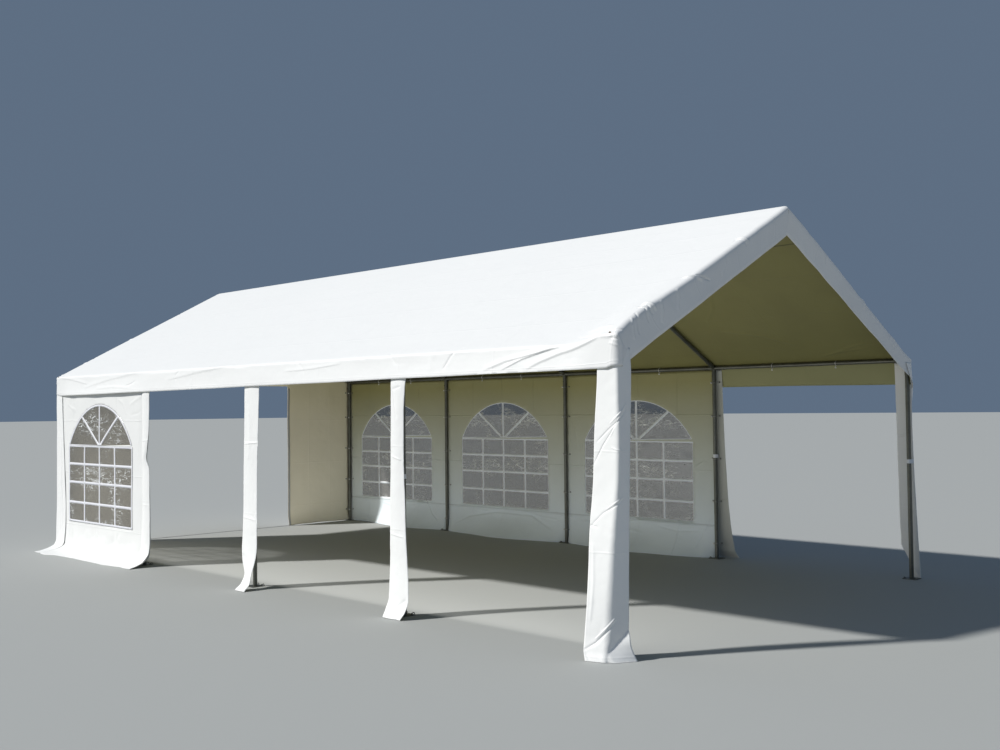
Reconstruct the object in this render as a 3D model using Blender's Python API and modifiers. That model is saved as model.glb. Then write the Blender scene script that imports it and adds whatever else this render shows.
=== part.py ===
"""Marquee tent of four bays: steel tube frame, white roof cover, window walls and post sleeves.

Run with: blender --background --python part.py

Frame of the model: origin on the ground in the middle of the tent, +X along the ridge towards the
open gable, +Y across the tent towards the side with three window walls, +Z up. Metres.
"""

import math

import bmesh
import bpy
from mathutils import Matrix, Vector

# Driving dimensions of the frame
BAY = 2.0                     # distance between two trusses
BAYS = 4
SPAN = 4.14                   # between the centres of the front and back posts
EAVE_Z = 1.92                 # centre of the eave tubes
ROOF_TOP_Z = 3.033            # outside of the cover at the ridge
TUBE_R = 0.019                # frame tubes, 38 mm
SOCKET_R = 0.0215             # arms of the corner fittings
KNUCKLE_R = 0.024             # welded ball where the arms of a fitting meet
SOCKET_LEN = 0.13             # from the middle of a fitting to the end of an arm
SOCKET_OVERLAP = 0.03         # how far a rafter reaches into its socket
FOOT_SIZE = 0.12
FOOT_T = 0.006
TUBE_SIDES = 16

# Fabric layers, from the frame outwards
GAP = 0.0003
WALL_T = 0.002
SLEEVE_T = 0.002
ROOF_T = 0.003
FILM_T = 0.0015
FABRIC_TOP_Z = 1.90           # top edge of walls and sleeves, behind the valance
HEM_Z = 0.008                 # lower edge of fabric, just above the foot plates
SKIRT_TOP_Z = 0.31            # where a wall's skirt bends away from the wall

# Roof cover
VALANCE_Z = 1.745             # lower edge of the valances
GABLE_BAND_IN_Y = 1.945       # where the band along the rafters meets the corner sleeve
GABLE_BAND_CORNER_Z = 1.83
GABLE_BAND_APEX_Z = 2.81
ARC_STEPS = 6
LIP = 0.0005

# Windows
WINDOW_W = 1.40
WINDOW_SILL_Z = 0.35
WINDOW_SPRING_Z = 1.17
WINDOW_APEX_Z = 1.605
WINDOW_ARC_STEPS = 16
FILM_MARGIN = 0.03

# Gable wall with its doorway at the closed end
DOOR_HALF_W = 1.05
DOOR_TOP_Z = 1.86
GABLE_WALL_HALF_W = 2.06
DOOR_ROLL_R = 0.055
DOOR_ROLL_Z = 1.945

# Values that follow from the ones above
HALF_LENGTH = BAY * BAYS / 2
HALF_SPAN = SPAN / 2
TRUSS_X = [BAY * i - HALF_LENGTH for i in range(BAYS + 1)]
WALL_OFF = KNUCKLE_R + GAP + WALL_T / 2
FILM_OFF = WALL_OFF + WALL_T / 2 + GAP + FILM_T / 2
SLEEVE_OFF = WALL_OFF + WALL_T / 2 + GAP + SLEEVE_T / 2
ROOF_IN = KNUCKLE_R + GAP
VALANCE_IN = SLEEVE_OFF + SLEEVE_T / 2 + GAP
RIDGE_Z = ROOF_TOP_Z - ROOF_IN - ROOF_T
PITCH = math.atan2(RIDGE_Z - EAVE_Z, HALF_SPAN)
RAFTER_LEN = math.hypot(RIDGE_Z - EAVE_Z, HALF_SPAN)

STEEL = ("galvanised_steel", (0.34, 0.36, 0.35), 0.42, 0.9)
ROOF_FABRIC = ("roof_fabric", (0.86, 0.87, 0.88), 0.55, 0.0)
WALL_FABRIC = ("wall_fabric", (0.84, 0.85, 0.86), 0.55, 0.0)
CLEAR_FILM = ("clear_film", (0.62, 0.63, 0.62), 0.12, 0.0)


def clear_scene():
    for obj in list(bpy.data.objects):
        bpy.data.objects.remove(obj, do_unlink=True)


def new_collection(name):
    collection = bpy.data.collections.new(name)
    bpy.context.scene.collection.children.link(collection)
    return collection


clear_scene()
TENT = new_collection("marquee_tent")
TOOLS = new_collection("construction_tools")


def material(kind):
    """The material of a kind, made the first time it is asked for."""
    name, colour, roughness, metallic = kind
    found = bpy.data.materials.get(name)
    if found:
        return found
    made = bpy.data.materials.new(name)
    made.use_nodes = True
    shader = made.node_tree.nodes["Principled BSDF"]
    shader.inputs["Base Color"].default_value = (*colour, 1.0)
    shader.inputs["Roughness"].default_value = roughness
    shader.inputs["Metallic"].default_value = metallic
    return made


def add_mesh(name, bm, kind, collection=None, smooth=False):
    """Puts a finished bmesh in the scene as an object."""
    bmesh.ops.recalc_face_normals(bm, faces=bm.faces)
    mesh = bpy.data.meshes.new(name)
    bm.to_mesh(mesh)
    bm.free()
    mesh.materials.append(material(kind))
    if smooth:
        mesh.shade_smooth()
        mesh.set_sharp_from_angle(angle=math.radians(40))
    obj = bpy.data.objects.new(name, mesh)
    (collection or TENT).objects.link(obj)
    return obj


def as_tool(obj):
    obj.hide_render = True
    obj.display_type = "WIRE"
    return obj


def tube(name, start, end, radius, kind=STEEL, collection=None):
    """A round bar from start to end."""
    start, end = Vector(start), Vector(end)
    run = end - start
    turn = run.to_track_quat("Z", "Y").to_matrix().to_4x4()
    place = Matrix.Translation((start + end) / 2) @ turn
    bm = bmesh.new()
    bmesh.ops.create_cone(bm, cap_ends=True, segments=TUBE_SIDES, radius1=radius, radius2=radius,
                          depth=run.length, matrix=place)
    return add_mesh(name, bm, kind, collection, smooth=True)


def ball(name, centre, radius):
    """A ball turned by a third of a facet, so that its edges cross those of the arms."""
    turn = Matrix.Rotation(2 * math.pi / TUBE_SIDES / 3, 4, "Z")
    bm = bmesh.new()
    bmesh.ops.create_uvsphere(bm, u_segments=TUBE_SIDES, v_segments=TUBE_SIDES // 2, radius=radius,
                              matrix=Matrix.Translation(centre) @ turn)
    return add_mesh(name, bm, STEEL, TOOLS, smooth=True)


def block(name, centre, size, kind, collection=None):
    bm = bmesh.new()
    place = Matrix.Translation(centre) @ Matrix.Diagonal((*size, 1.0))
    bmesh.ops.create_cube(bm, size=1.0, matrix=place)
    return add_mesh(name, bm, kind, collection)


def combine(obj, tools, operation):
    """Adds one Boolean for each tool to an object."""
    for tool in tools:
        as_tool(tool)
        step = obj.modifiers.new(tool.name, "BOOLEAN")
        step.operation = operation
        step.solver = "EXACT"
        step.object = tool
    return obj


def outline_solid(name, points, thickness, place, kind, collection=None):
    """A flat outline, drawn as a filled 2D curve, given a thickness and set in place as a mesh."""
    curve = bpy.data.curves.new(name + "_outline", "CURVE")
    curve.dimensions = "2D"
    curve.fill_mode = "BOTH"
    curve.extrude = thickness / 2
    spline = curve.splines.new("POLY")
    spline.points.add(len(points) - 1)
    for point, (x, y) in zip(spline.points, points):
        point.co = (x, y, 0.0, 1.0)
    spline.use_cyclic_u = True
    drawn = bpy.data.objects.new(name + "_outline", curve)
    drawn.matrix_world = place
    TOOLS.objects.link(drawn)
    bpy.context.view_layer.update()
    seen = drawn.evaluated_get(bpy.context.evaluated_depsgraph_get())
    mesh = bpy.data.meshes.new_from_object(seen)
    bm = bmesh.new()
    bm.from_mesh(mesh)
    bmesh.ops.remove_doubles(bm, verts=bm.verts, dist=0.00005)
    bpy.data.objects.remove(drawn, do_unlink=True)
    bpy.data.meshes.remove(mesh)
    solid = add_mesh(name, bm, kind, collection)
    solid.matrix_world = place
    return solid


def gable_place(x):
    """Turns an outline drawn in (Y, Z) into the plane across the tent at x."""
    return Matrix(((0, 0, 1, x), (1, 0, 0, 0), (0, 1, 0, 0), (0, 0, 0, 1)))


def side_place(x, y):
    """Turns an outline drawn in (X, Z) into the plane along the tent at y."""
    return Matrix(((1, 0, 0, x), (0, 0, -1, y), (0, 1, 0, 0), (0, 0, 0, 1)))


def fabric(name, columns, rows, shape, thickness, kind=WALL_FABRIC):
    """A hanging sheet: shape(u, v) gives the point at share u of its width and share v of its height."""
    bm = bmesh.new()
    bmesh.ops.create_grid(bm, x_segments=columns, y_segments=rows, size=0.5)
    for vert in bm.verts:
        vert.co = shape(vert.co.x + 0.5, vert.co.y + 0.5)
    sheet = add_mesh(name, bm, kind, smooth=True)
    shell = sheet.modifiers.new("thickness", "SOLIDIFY")
    shell.thickness = thickness
    shell.offset = 0.0
    shell.use_even_offset = True
    return sheet


def arc(centre, radius, first_deg, last_deg, steps):
    """Points on a round stretch of an outline."""
    angles = [math.radians(first_deg + (last_deg - first_deg) * i / steps) for i in range(steps + 1)]
    return [(centre[0] + radius * math.cos(a), centre[1] + radius * math.sin(a)) for a in angles]


def mix(a, b, share):
    return a + (b - a) * share


def ease(share):
    """Runs from 0 to 1 with a soft start and a soft end."""
    share = min(max(share, 0.0), 1.0)
    return share * share * (3 - 2 * share)


# Frame

def build_post(name, x, y):
    """A post with its welded foot plate. Its top butts against the arm of the truss fitting."""
    post = block(name, (x, y, FOOT_T / 2), (FOOT_SIZE, FOOT_SIZE, FOOT_T), STEEL)
    top_z = EAVE_Z - SOCKET_LEN - GAP
    stem = tube(name + "_stem", (x, y, FOOT_T / 2), (x, y, top_z), TUBE_R, collection=TOOLS)
    return combine(post, [stem], "UNION")


def fitting(name, centre, directions, along):
    """The ball and the arms of one corner fitting, as tools to join.

    along holds the reach of the arms towards the closed end and towards the open end.
    """
    centre = Vector(centre)
    parts = [ball(name + "_ball", centre, KNUCKLE_R)]
    start = KNUCKLE_R / 4
    for index, direction in enumerate(directions):
        run = Vector(direction).normalized()
        parts.append(tube(f"{name}_arm_{index}", centre + run * start, centre + run * SOCKET_LEN,
                          SOCKET_R, collection=TOOLS))
    parts.append(tube(name + "_arm_along", centre + Vector((along[0], 0, 0)),
                      centre + Vector((along[1], 0, 0)), SOCKET_R, collection=TOOLS))
    return parts


def build_truss(name, x, along):
    """Two rafters, the two eave fittings and the ridge fitting, bolted up as one frame."""
    up_slope = Vector((0, math.cos(PITCH), math.sin(PITCH)))
    inset = SOCKET_LEN - SOCKET_OVERLAP
    rafters = []
    tools = []
    for side, label in ((-1, "front"), (1, "back")):
        run = Vector((0, -side * up_slope.y, up_slope.z))
        eave = Vector((x, side * HALF_SPAN, EAVE_Z))
        rafters.append(tube(f"{name}_{label}_rafter", eave + run * inset,
                            eave + run * (RAFTER_LEN - inset), TUBE_R, collection=TOOLS))
        tools += fitting(f"{name}_{label}_eave", eave, [run, (0, 0, -1)], along)
    ridge = (x, 0, RIDGE_Z)
    down = [(0, -up_slope.y, -up_slope.z), (0, up_slope.y, -up_slope.z)]
    tools += fitting(name + "_ridge", ridge, down, along)
    truss = tools.pop(0)
    truss.name = name
    TOOLS.objects.unlink(truss)
    TENT.objects.link(truss)
    front_arms = [part for part in tools if "_front_" in part.name]
    back_arms = [part for part in tools if "_back_" in part.name]
    ridge_arms = [part for part in tools if "_ridge" in part.name]
    order = front_arms + [rafters[0]] + ridge_arms + [rafters[1]] + back_arms[::-1]
    return combine(truss, order, "UNION")


def build_frame():
    for number, x in enumerate(TRUSS_X, start=1):
        to_closed_end = -SOCKET_LEN if number > 1 else KNUCKLE_R / 4
        to_open_end = SOCKET_LEN if number <= BAYS else -KNUCKLE_R / 4
        build_truss(f"truss_{number}", x, (to_closed_end, to_open_end))
        build_post(f"post_front_{number}", x, -HALF_SPAN)
        build_post(f"post_back_{number}", x, HALF_SPAN)
    for number, x in enumerate(TRUSS_X[:-1], start=1):
        x0 = x + SOCKET_LEN + GAP
        x1 = x + BAY - SOCKET_LEN - GAP
        tube(f"eave_tube_front_{number}", (x0, -HALF_SPAN, EAVE_Z), (x1, -HALF_SPAN, EAVE_Z), TUBE_R)
        tube(f"eave_tube_back_{number}", (x0, HALF_SPAN, EAVE_Z), (x1, HALF_SPAN, EAVE_Z), TUBE_R)
        tube(f"ridge_tube_{number}", (x0, 0, RIDGE_Z), (x1, 0, RIDGE_Z), TUBE_R)


# Roof cover

def roof_profile(grow):
    """One line of the roof section in (Y, Z), from the front valance over the ridge to the back one.

    grow is how far the line lies outside the cover's inner face.
    """
    pitch_deg = math.degrees(PITCH)
    out = VALANCE_IN - ROOF_IN
    eave = (HALF_SPAN + out, EAVE_Z - out * math.tan(PITCH))
    radius = ROOF_IN + grow
    half = [(eave[0] + radius, VALANCE_Z)]
    half += arc(eave, radius, 0, 90 - pitch_deg, ARC_STEPS)
    half += arc((0, RIDGE_Z), radius, 90 - pitch_deg, 90, ARC_STEPS // 2)
    mirrored = [(-y, z) for y, z in half]
    return mirrored + half[-2::-1]


def build_roof_cover():
    """Both slopes and the eave valances as one folded sheet, with a band down each pair of rafters."""
    outer = roof_profile(ROOF_T)
    inner = roof_profile(0.0)
    band_x = HALF_LENGTH + VALANCE_IN + ROOF_T / 2
    length = 2 * (band_x + ROOF_T / 2 + LIP)
    cover = outline_solid("roof_cover", outer + inner[::-1], length, gable_place(0), ROOF_FABRIC)
    middle = roof_profile(ROOF_T / 2)
    band_outline = [(middle[0][0], VALANCE_Z + LIP)] + middle[1:-1] + [
        (middle[-1][0], VALANCE_Z + LIP),
        (GABLE_BAND_IN_Y, VALANCE_Z + LIP),
        (GABLE_BAND_IN_Y, GABLE_BAND_CORNER_Z),
        (0, GABLE_BAND_APEX_Z),
        (-GABLE_BAND_IN_Y, GABLE_BAND_CORNER_Z),
        (-GABLE_BAND_IN_Y, VALANCE_Z + LIP),
    ]
    bands = [outline_solid(f"gable_band_{label}", band_outline, ROOF_T, gable_place(side * band_x),
                           ROOF_FABRIC, TOOLS)
             for side, label in ((-1, "closed_end"), (1, "open_end"))]
    return combine(cover, bands, "UNION")


# Walls with windows

def window_outline(margin=0.0):
    """The window's outline in (X, Z) about its middle: straight sides under a flat arch."""
    half = WINDOW_W / 2
    rise = WINDOW_APEX_Z - WINDOW_SPRING_Z
    radius = (half * half + rise * rise) / (2 * rise)
    centre = (0, WINDOW_APEX_Z - radius)
    reach = radius + margin
    side = half + margin
    first = math.degrees(math.acos(side / reach))
    top = arc(centre, reach, first, 180 - first, WINDOW_ARC_STEPS)
    return [(-side, WINDOW_SILL_Z - margin), (side, WINDOW_SILL_Z - margin)] + top


def skirt_reach(z, start_z, spread):
    """How far a skirt stands out at height z when its hem is spread on the ground."""
    share = 1 - min(z / start_z, 1.0)
    return spread * share ** 2.2


def front_skirt(u, z):
    """The front wall's skirt is drawn outwards over its whole width."""
    return skirt_reach(z, SKIRT_TOP_Z, 0.29)


def back_skirt(u, z):
    """A back wall's skirt is tucked inwards between its posts."""
    return skirt_reach(z, SKIRT_TOP_Z, -0.20) * math.sin(math.pi * u)


def skirt_height(v):
    """Height at share v of the rows: half of the rows lie in the skirt, where it bends."""
    if v < 0.5:
        return mix(HEM_Z, SKIRT_TOP_Z, v * 2)
    return mix(SKIRT_TOP_Z, FABRIC_TOP_Z, v * 2 - 1)


WINDOW_WALLS = [
    # node, side, bay, how far its ends lie past the posts on its left and right, its skirt
    ("window_wall_front_1", -1, 0, 0.138, 0.178, front_skirt),
    ("window_wall_back_1", 1, 0, 0.012, -0.004, back_skirt),
    ("window_wall_back_2", 1, 1, 0.004, -0.004, back_skirt),
    ("window_wall_back_3", 1, 2, 0.004, -0.012, back_skirt),
]


def build_window_wall(name, side, bay, left, right, skirt):
    """One bay's wall with its window cut through, and the clear film that closes the window."""
    x0 = TRUSS_X[bay] + left
    x1 = TRUSS_X[bay + 1] + right
    plane = HALF_SPAN + WALL_OFF

    def shape(u, v):
        z = skirt_height(v)
        return Vector((mix(x0, x1, u), side * (plane + skirt(u, z)), z))

    wall = fabric(name, 8, 12, shape, WALL_T)
    middle_x = TRUSS_X[bay] + BAY / 2
    cutter = outline_solid(name + "_window", window_outline(), 0.2, side_place(middle_x, side * plane),
                           WALL_FABRIC, TOOLS)
    combine(wall, [cutter], "DIFFERENCE")
    film_y = side * (HALF_SPAN + FILM_OFF)
    outline_solid(name.replace("wall", "film"), window_outline(FILM_MARGIN), FILM_T,
                  side_place(middle_x, film_y), CLEAR_FILM)


def build_gable_wall():
    """The wall of the closed end, open in the middle where its door is rolled up under the ridge."""
    def under_rafter(y):
        return mix(RIDGE_Z, EAVE_Z, abs(y) / HALF_SPAN) - KNUCKLE_R / 2

    half = GABLE_WALL_HALF_W
    outline = [
        (-half, HEM_Z), (-DOOR_HALF_W, HEM_Z), (-DOOR_HALF_W, DOOR_TOP_Z), (DOOR_HALF_W, DOOR_TOP_Z),
        (DOOR_HALF_W, HEM_Z), (half, HEM_Z), (half, under_rafter(half)), (0, under_rafter(0)),
        (-half, under_rafter(half)),
    ]
    x = -(HALF_LENGTH + WALL_OFF)
    outline_solid("gable_wall", outline, WALL_T, gable_place(x), WALL_FABRIC)
    roll_x = x + WALL_T / 2 + GAP + DOOR_ROLL_R
    tube("gable_door_roll", (roll_x, -DOOR_HALF_W, DOOR_ROLL_Z), (roll_x, DOOR_HALF_W, DOOR_ROLL_Z),
         DOOR_ROLL_R, WALL_FABRIC)


# Sleeves over the posts

FLAT_SLEEVES = [
    # node, side, post, left and right edge beside the post, shift and spread of the hem,
    # height where it leaves the post, and how far it lies over a wall's skirt
    ("post_sleeve_front_2", -1, 1, 0.015, 0.195, 0.0, 0.29, SKIRT_TOP_Z, 0.004),
    ("post_sleeve_front_3", -1, 2, -0.06, 0.14, 0.13, 0.20, 1.1, 0.0),
    ("post_sleeve_front_4", -1, 3, -0.07, 0.10, 0.05, 0.13, 1.1, 0.0),
    ("post_sleeve_back_2", 1, 1, -0.10, 0.10, 0.02, 0.22, 1.1, 0.0),
    ("post_sleeve_back_3", 1, 2, -0.10, 0.10, 0.02, 0.22, 1.1, 0.0),
    ("post_sleeve_back_4", 1, 3, -0.08, 0.11, 0.05, 0.10, 1.1, 0.0),
]


def build_flat_sleeve(name, side, post, left, right, shift, spread, start_z, over_skirt):
    """A strip that hangs down the outside of a post, with its hem drawn outwards on the ground."""
    x = TRUSS_X[post]
    plane = HALF_SPAN + SLEEVE_OFF

    def shape(u, v):
        z = skirt_height(v)
        out = skirt_reach(z, start_z, spread)
        lift = over_skirt * ease(1 - z / start_z)
        y = side * (plane + out + lift)
        return Vector((x + mix(left, right, u) + shift * (1 - v) ** 3, y, z + lift))

    fabric(name, 2, 12, shape, SLEEVE_T)


LONG_FLAP = 0.16
GABLE_FLAP = 0.14
CORNER_HEM_BOW = 0.03
CORNER_SLEEVES = [
    # node, end, side, hem form, and where the hem lies beside the post as (x, y):
    # opened flat, the far ends of the long flap and of the gable flap, or folded, how far it moves out
    ("corner_sleeve_front_1", -1, -1, "folded", (0.02, 0.03), None),
    ("corner_sleeve_front_5", 1, -1, "flat", (-0.06, 0.21), (0.144, 0.016)),
    ("corner_sleeve_back_1", -1, 1, "folded", (0.09, 0.09), None),
    ("corner_sleeve_back_5", 1, 1, "flat", (-0.05, 0.12), (0.11, 0.0)),
]


def build_corner_sleeve(name, end, side, form, first, last):
    """A strip folded round a corner post, with its hem opened flat or kept folded."""
    corner = (SLEEVE_OFF, SLEEVE_OFF)
    total = LONG_FLAP + GABLE_FLAP
    fold = LONG_FLAP / total

    def folded(u):
        if u < fold:
            return corner[0] - (fold - u) * total, corner[1]
        return corner[0], corner[1] - (u - fold) * total

    def shape(u, v):
        u = fold * u * 2 if u < 0.5 else mix(fold, 1.0, (u - 0.5) * 2)
        z = mix(HEM_Z, FABRIC_TOP_Z, v ** 1.4)
        at_top = folded(u)
        if form == "flat":
            bow = CORNER_HEM_BOW * math.sin(math.pi * u)
            on_ground = (mix(first[0], last[0], u) + bow, mix(first[1], last[1], u) + bow)
        else:
            on_ground = (at_top[0] + first[0], at_top[1] + first[1])
        share = (1 - min(z / 1.3, 1.0)) ** 2
        x = mix(at_top[0], on_ground[0], share)
        y = mix(at_top[1], on_ground[1], share)
        return Vector((end * (HALF_LENGTH + x), side * (HALF_SPAN + y), z))

    fabric(name, 6, 12, shape, SLEEVE_T)


def build_covers():
    build_roof_cover()
    for row in WINDOW_WALLS:
        build_window_wall(*row)
    build_gable_wall()
    for row in FLAT_SLEEVES:
        build_flat_sleeve(*row)
    for row in CORNER_SLEEVES:
        build_corner_sleeve(*row)


build_frame()
build_covers()
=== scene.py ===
# %% [markdown]
# # Dressing a marquee tent
# This lesson dresses a marquee tent of four bays. The steel frame comes ready made, as a packed
# model, and only gets its zinc finish here. Everything made of cloth is cut as a flat pattern in
# metres and then hung in its place, the way a tent maker works, so each sheet keeps its true size.

# %% Load the frame
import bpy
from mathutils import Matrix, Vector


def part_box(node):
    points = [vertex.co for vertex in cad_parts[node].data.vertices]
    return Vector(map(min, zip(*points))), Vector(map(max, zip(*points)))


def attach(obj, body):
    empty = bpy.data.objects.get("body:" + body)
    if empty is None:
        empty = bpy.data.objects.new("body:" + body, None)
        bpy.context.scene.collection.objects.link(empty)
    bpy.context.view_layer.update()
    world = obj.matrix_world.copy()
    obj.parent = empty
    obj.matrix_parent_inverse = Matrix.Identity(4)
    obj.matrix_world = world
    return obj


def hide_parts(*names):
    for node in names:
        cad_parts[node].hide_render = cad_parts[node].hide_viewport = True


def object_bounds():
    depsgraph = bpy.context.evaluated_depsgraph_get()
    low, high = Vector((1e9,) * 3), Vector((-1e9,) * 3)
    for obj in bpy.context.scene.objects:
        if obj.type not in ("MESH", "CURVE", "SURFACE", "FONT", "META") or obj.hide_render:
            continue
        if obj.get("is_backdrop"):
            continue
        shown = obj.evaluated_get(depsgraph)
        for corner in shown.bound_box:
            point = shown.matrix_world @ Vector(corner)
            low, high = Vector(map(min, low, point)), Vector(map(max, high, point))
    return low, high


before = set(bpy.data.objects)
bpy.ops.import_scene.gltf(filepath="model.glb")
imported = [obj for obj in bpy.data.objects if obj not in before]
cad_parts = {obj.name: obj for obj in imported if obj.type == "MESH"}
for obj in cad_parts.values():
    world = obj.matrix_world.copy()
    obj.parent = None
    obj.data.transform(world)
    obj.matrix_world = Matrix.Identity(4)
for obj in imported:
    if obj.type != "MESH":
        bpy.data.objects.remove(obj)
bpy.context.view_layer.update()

print("frame nodes:", len(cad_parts))

# %% Modules
import math

import bmesh
import bpy
import numpy as np
from mathutils import Matrix, Vector, geometry, noise

# %% [markdown]
# ## The camera
# The tent is seen from a little outside its open front corner, at eye height. A camera needs a
# place, a direction and a focal length. Yaw turns it round the upright axis, pitch tips it up and
# roll leans it sideways. The small sideways shift of the lens keeps upright lines upright.

# %% Camera
PICTURE_WIDTH_PX = 1000
FOCAL_PX = 1095.8
SHIFT_PX = 21.1
CAMERA_PLACE = (8.252, -7.410, 1.522)
CAMERA_YAW, CAMERA_PITCH, CAMERA_ROLL = 45.511, 1.815, -0.572

lens = bpy.data.cameras.new("corner_view")
lens.sensor_width = 36.0
lens.lens = FOCAL_PX / PICTURE_WIDTH_PX * lens.sensor_width
lens.shift_x = SHIFT_PX / PICTURE_WIDTH_PX
lens.clip_end = 500.0
camera = bpy.data.objects.new("corner_view", lens)
bpy.context.scene.collection.objects.link(camera)
turn = Matrix.Rotation(math.radians(CAMERA_YAW), 4, "Z")
tip = Matrix.Rotation(math.radians(90 + CAMERA_PITCH), 4, "X")
lean = Matrix.Rotation(math.radians(CAMERA_ROLL), 4, "Z")
camera.matrix_world = Matrix.Translation(CAMERA_PLACE) @ turn @ tip @ lean
bpy.context.scene.camera = camera
print("lens:", round(lens.lens, 2), "mm")

# %% [markdown]
# ## Floor and light
# A white tent shows its folds only when the light comes from one side and the shade is filled
# softly. So there is one key light on the front left, and a dim bluish sky that fills the shade.
# The floor is pale and plain, and a little darker than the cloth. Real tent cloth also lets some
# light through, so the inside is never black. Two large, faint lamps stand in for that light: one
# lies on the floor and glows upwards, and one stands behind the front posts and glows inwards.

# %% Floor and light
FLOOR_HALF = 220.0
TO_KEY_LIGHT = Vector((-0.412, -0.627, 0.661))
GLOW_LENGTH, GLOW_WIDTH = 7.6, 3.7

floor_mesh = bpy.data.meshes.new("floor")
bm = bmesh.new()
bmesh.ops.create_grid(bm, x_segments=1, y_segments=1, size=FLOOR_HALF)
bm.to_mesh(floor_mesh)
bm.free()
floor = bpy.data.objects.new("floor", floor_mesh)
bpy.context.scene.collection.objects.link(floor)
paint = bpy.data.materials.new("floor_paint")
paint.use_nodes = True
paint.node_tree.nodes["Principled BSDF"].inputs["Base Color"].default_value = (0.41, 0.42, 0.41, 1)
paint.node_tree.nodes["Principled BSDF"].inputs["Roughness"].default_value = 0.9
floor_mesh.materials.append(paint)
floor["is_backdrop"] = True

key = bpy.data.lights.new("key_light", "SUN")
key.energy = 3.85
key.angle = math.radians(3)
key.color = (1.0, 0.985, 0.95)
key_light = bpy.data.objects.new("key_light", key)
key_light.rotation_mode = "QUATERNION"
key_light.rotation_quaternion = TO_KEY_LIGHT.to_track_quat("Z", "Y")
bpy.context.scene.collection.objects.link(key_light)

GLOWS = [
    # name, length, width, place, turn about the x axis, strength
    ("glow_upwards", GLOW_LENGTH, GLOW_WIDTH, (0, 0, 0.004), math.pi, 22),
    ("glow_inwards", GLOW_LENGTH, 1.0, (0, -1.95, 0.60), math.pi / 2, 24),
]
for name, length, width, place, tilt, strength in GLOWS:
    glow = bpy.data.lights.new(name, "AREA")
    glow.shape = "RECTANGLE"
    glow.size = length
    glow.size_y = width
    glow.energy = strength
    glow.color = (1.0, 0.98, 0.93)
    glow_light = bpy.data.objects.new(name, glow)
    glow_light.location = place
    glow_light.rotation_euler = (tilt, 0, 0)
    glow_light.visible_camera = False
    bpy.context.scene.collection.objects.link(glow_light)

sky = bpy.data.worlds.new("soft_sky")
sky.use_nodes = True
sky.node_tree.nodes["Background"].inputs["Color"].default_value = (0.50, 0.70, 1.0, 1)
sky.node_tree.nodes["Background"].inputs["Strength"].default_value = 0.225
bpy.context.scene.world = sky
bpy.context.scene.view_settings.view_transform = "Standard"
print("key light", round(math.degrees(math.asin(TO_KEY_LIGHT.normalized().z))), "degrees up")

# %% [markdown]
# ## Reading the frame
# The cloth has to follow the steel, so every main size is read from the frame: where the posts
# stand, how high the eave and ridge tubes lie and how thick they are. Nothing is typed twice.

# %% Sizes from the frame
BAYS = 4


def middle(node):
    low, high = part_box(node)
    return (low + high) / 2


POST_X = [middle(f"post_front_{n + 1}").x for n in range(BAYS + 1)]
FRONT_Y = middle("post_front_1").y
BACK_Y = middle("post_back_1").y
EAVE_Z = middle("eave_tube_front_1").z
RIDGE_Z = middle("ridge_tube_1").z
TUBE_R = (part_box("ridge_tube_1")[1].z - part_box("ridge_tube_1")[0].z) / 2
PITCH = math.atan2(RIDGE_Z - EAVE_Z, BACK_Y)
SIDE_Y = {"front": FRONT_Y, "back": BACK_Y}
OUTWARD = {"front": -1, "back": 1}
print("posts at x", [round(x, 3) for x in POST_X], "and y", round(FRONT_Y, 3), round(BACK_Y, 3))
print("eave", round(EAVE_Z, 3), "ridge", round(RIDGE_Z, 3), "pitch", round(math.degrees(PITCH), 1))

# %% [markdown]
# ## The cloth's finish
# The cloth is woven polythene tape, coated on both sides. From near it shows a fine grid of tapes,
# a soft sheen and sharp little creases; from far it shows the lines in which it was folded for its
# bag. All that can be drawn by shader nodes, driven by the pattern's own coordinates in metres, so
# the weave follows every fold. The side that faces away from the light has its own darker material:
# its colour holds painted shade, and the warm olive glow of light that passes through the sheet is
# painted into it as well.

# %% A helper for shader nodes
def put(tree, kind, inputs=(), **settings):
    """Adds a shader node. An input is named or numbered, and takes a value or another node's output."""
    made = tree.nodes.new("ShaderNode" + kind)
    for key, value in settings.items():
        setattr(made, key, value)
    for key, value in dict(inputs).items():
        if isinstance(value, bpy.types.NodeSocket):
            tree.links.new(value, made.inputs[key])
        else:
            made.inputs[key].default_value = value
    return made


def blend_colours(tree, share, first, second):
    """The colour between two others, by a share from 0 to 1."""
    node = put(tree, "Mix", {0: share, 6: first, 7: second}, data_type="RGBA")
    return node.outputs[2]


def as_colour(rgb):
    return (*rgb, 1.0)


def new_finish(name):
    """A new material, its node tree and its main shader."""
    made = bpy.data.materials.new(name)
    made.use_nodes = True
    return made, made.node_tree, made.node_tree.nodes["Principled BSDF"]


# %% Shorter words for the nodes that come up often
def worked_out(tree, operation, *values, **settings):
    """The result of a Math node. Each value is a number or another node's output."""
    return put(tree, "Math", dict(enumerate(values)), operation=operation, **settings).outputs[0]


def ranged(tree, value, start, end, first=0.0, last=1.0):
    """Turns the values from start to end into values from first to last."""
    return put(tree, "MapRange", {"Value": value, "From Min": start, "From Max": end,
                                  "To Min": first, "To Max": last}).outputs[0]


def clouds(tree, place, scale, **more):
    """Soft noise, with patches about 1 / scale metres wide."""
    return put(tree, "TexNoise", {"Vector": place, "Scale": scale, **more}).outputs[0]


def bumped(tree, height, strength, distance, **more):
    """The surface's direction, tilted by a height. Normal is the direction before that."""
    return put(tree, "Bump", {"Height": height, "Strength": strength, "Distance": distance,
                              **more}).outputs[0]


# %% Fold lines and seams
SOFT_EDGE = 0.003             # how softly a seam or a hem ends


def fold_lines(tree, coordinate, spacing, width):
    """1 on evenly spaced lines across a coordinate in metres, and 0 a little beside them."""
    beside = worked_out(tree, "PINGPONG", coordinate, spacing / 2)
    return ranged(tree, beside, 0.0, width, 1.0, 0.0)


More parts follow.
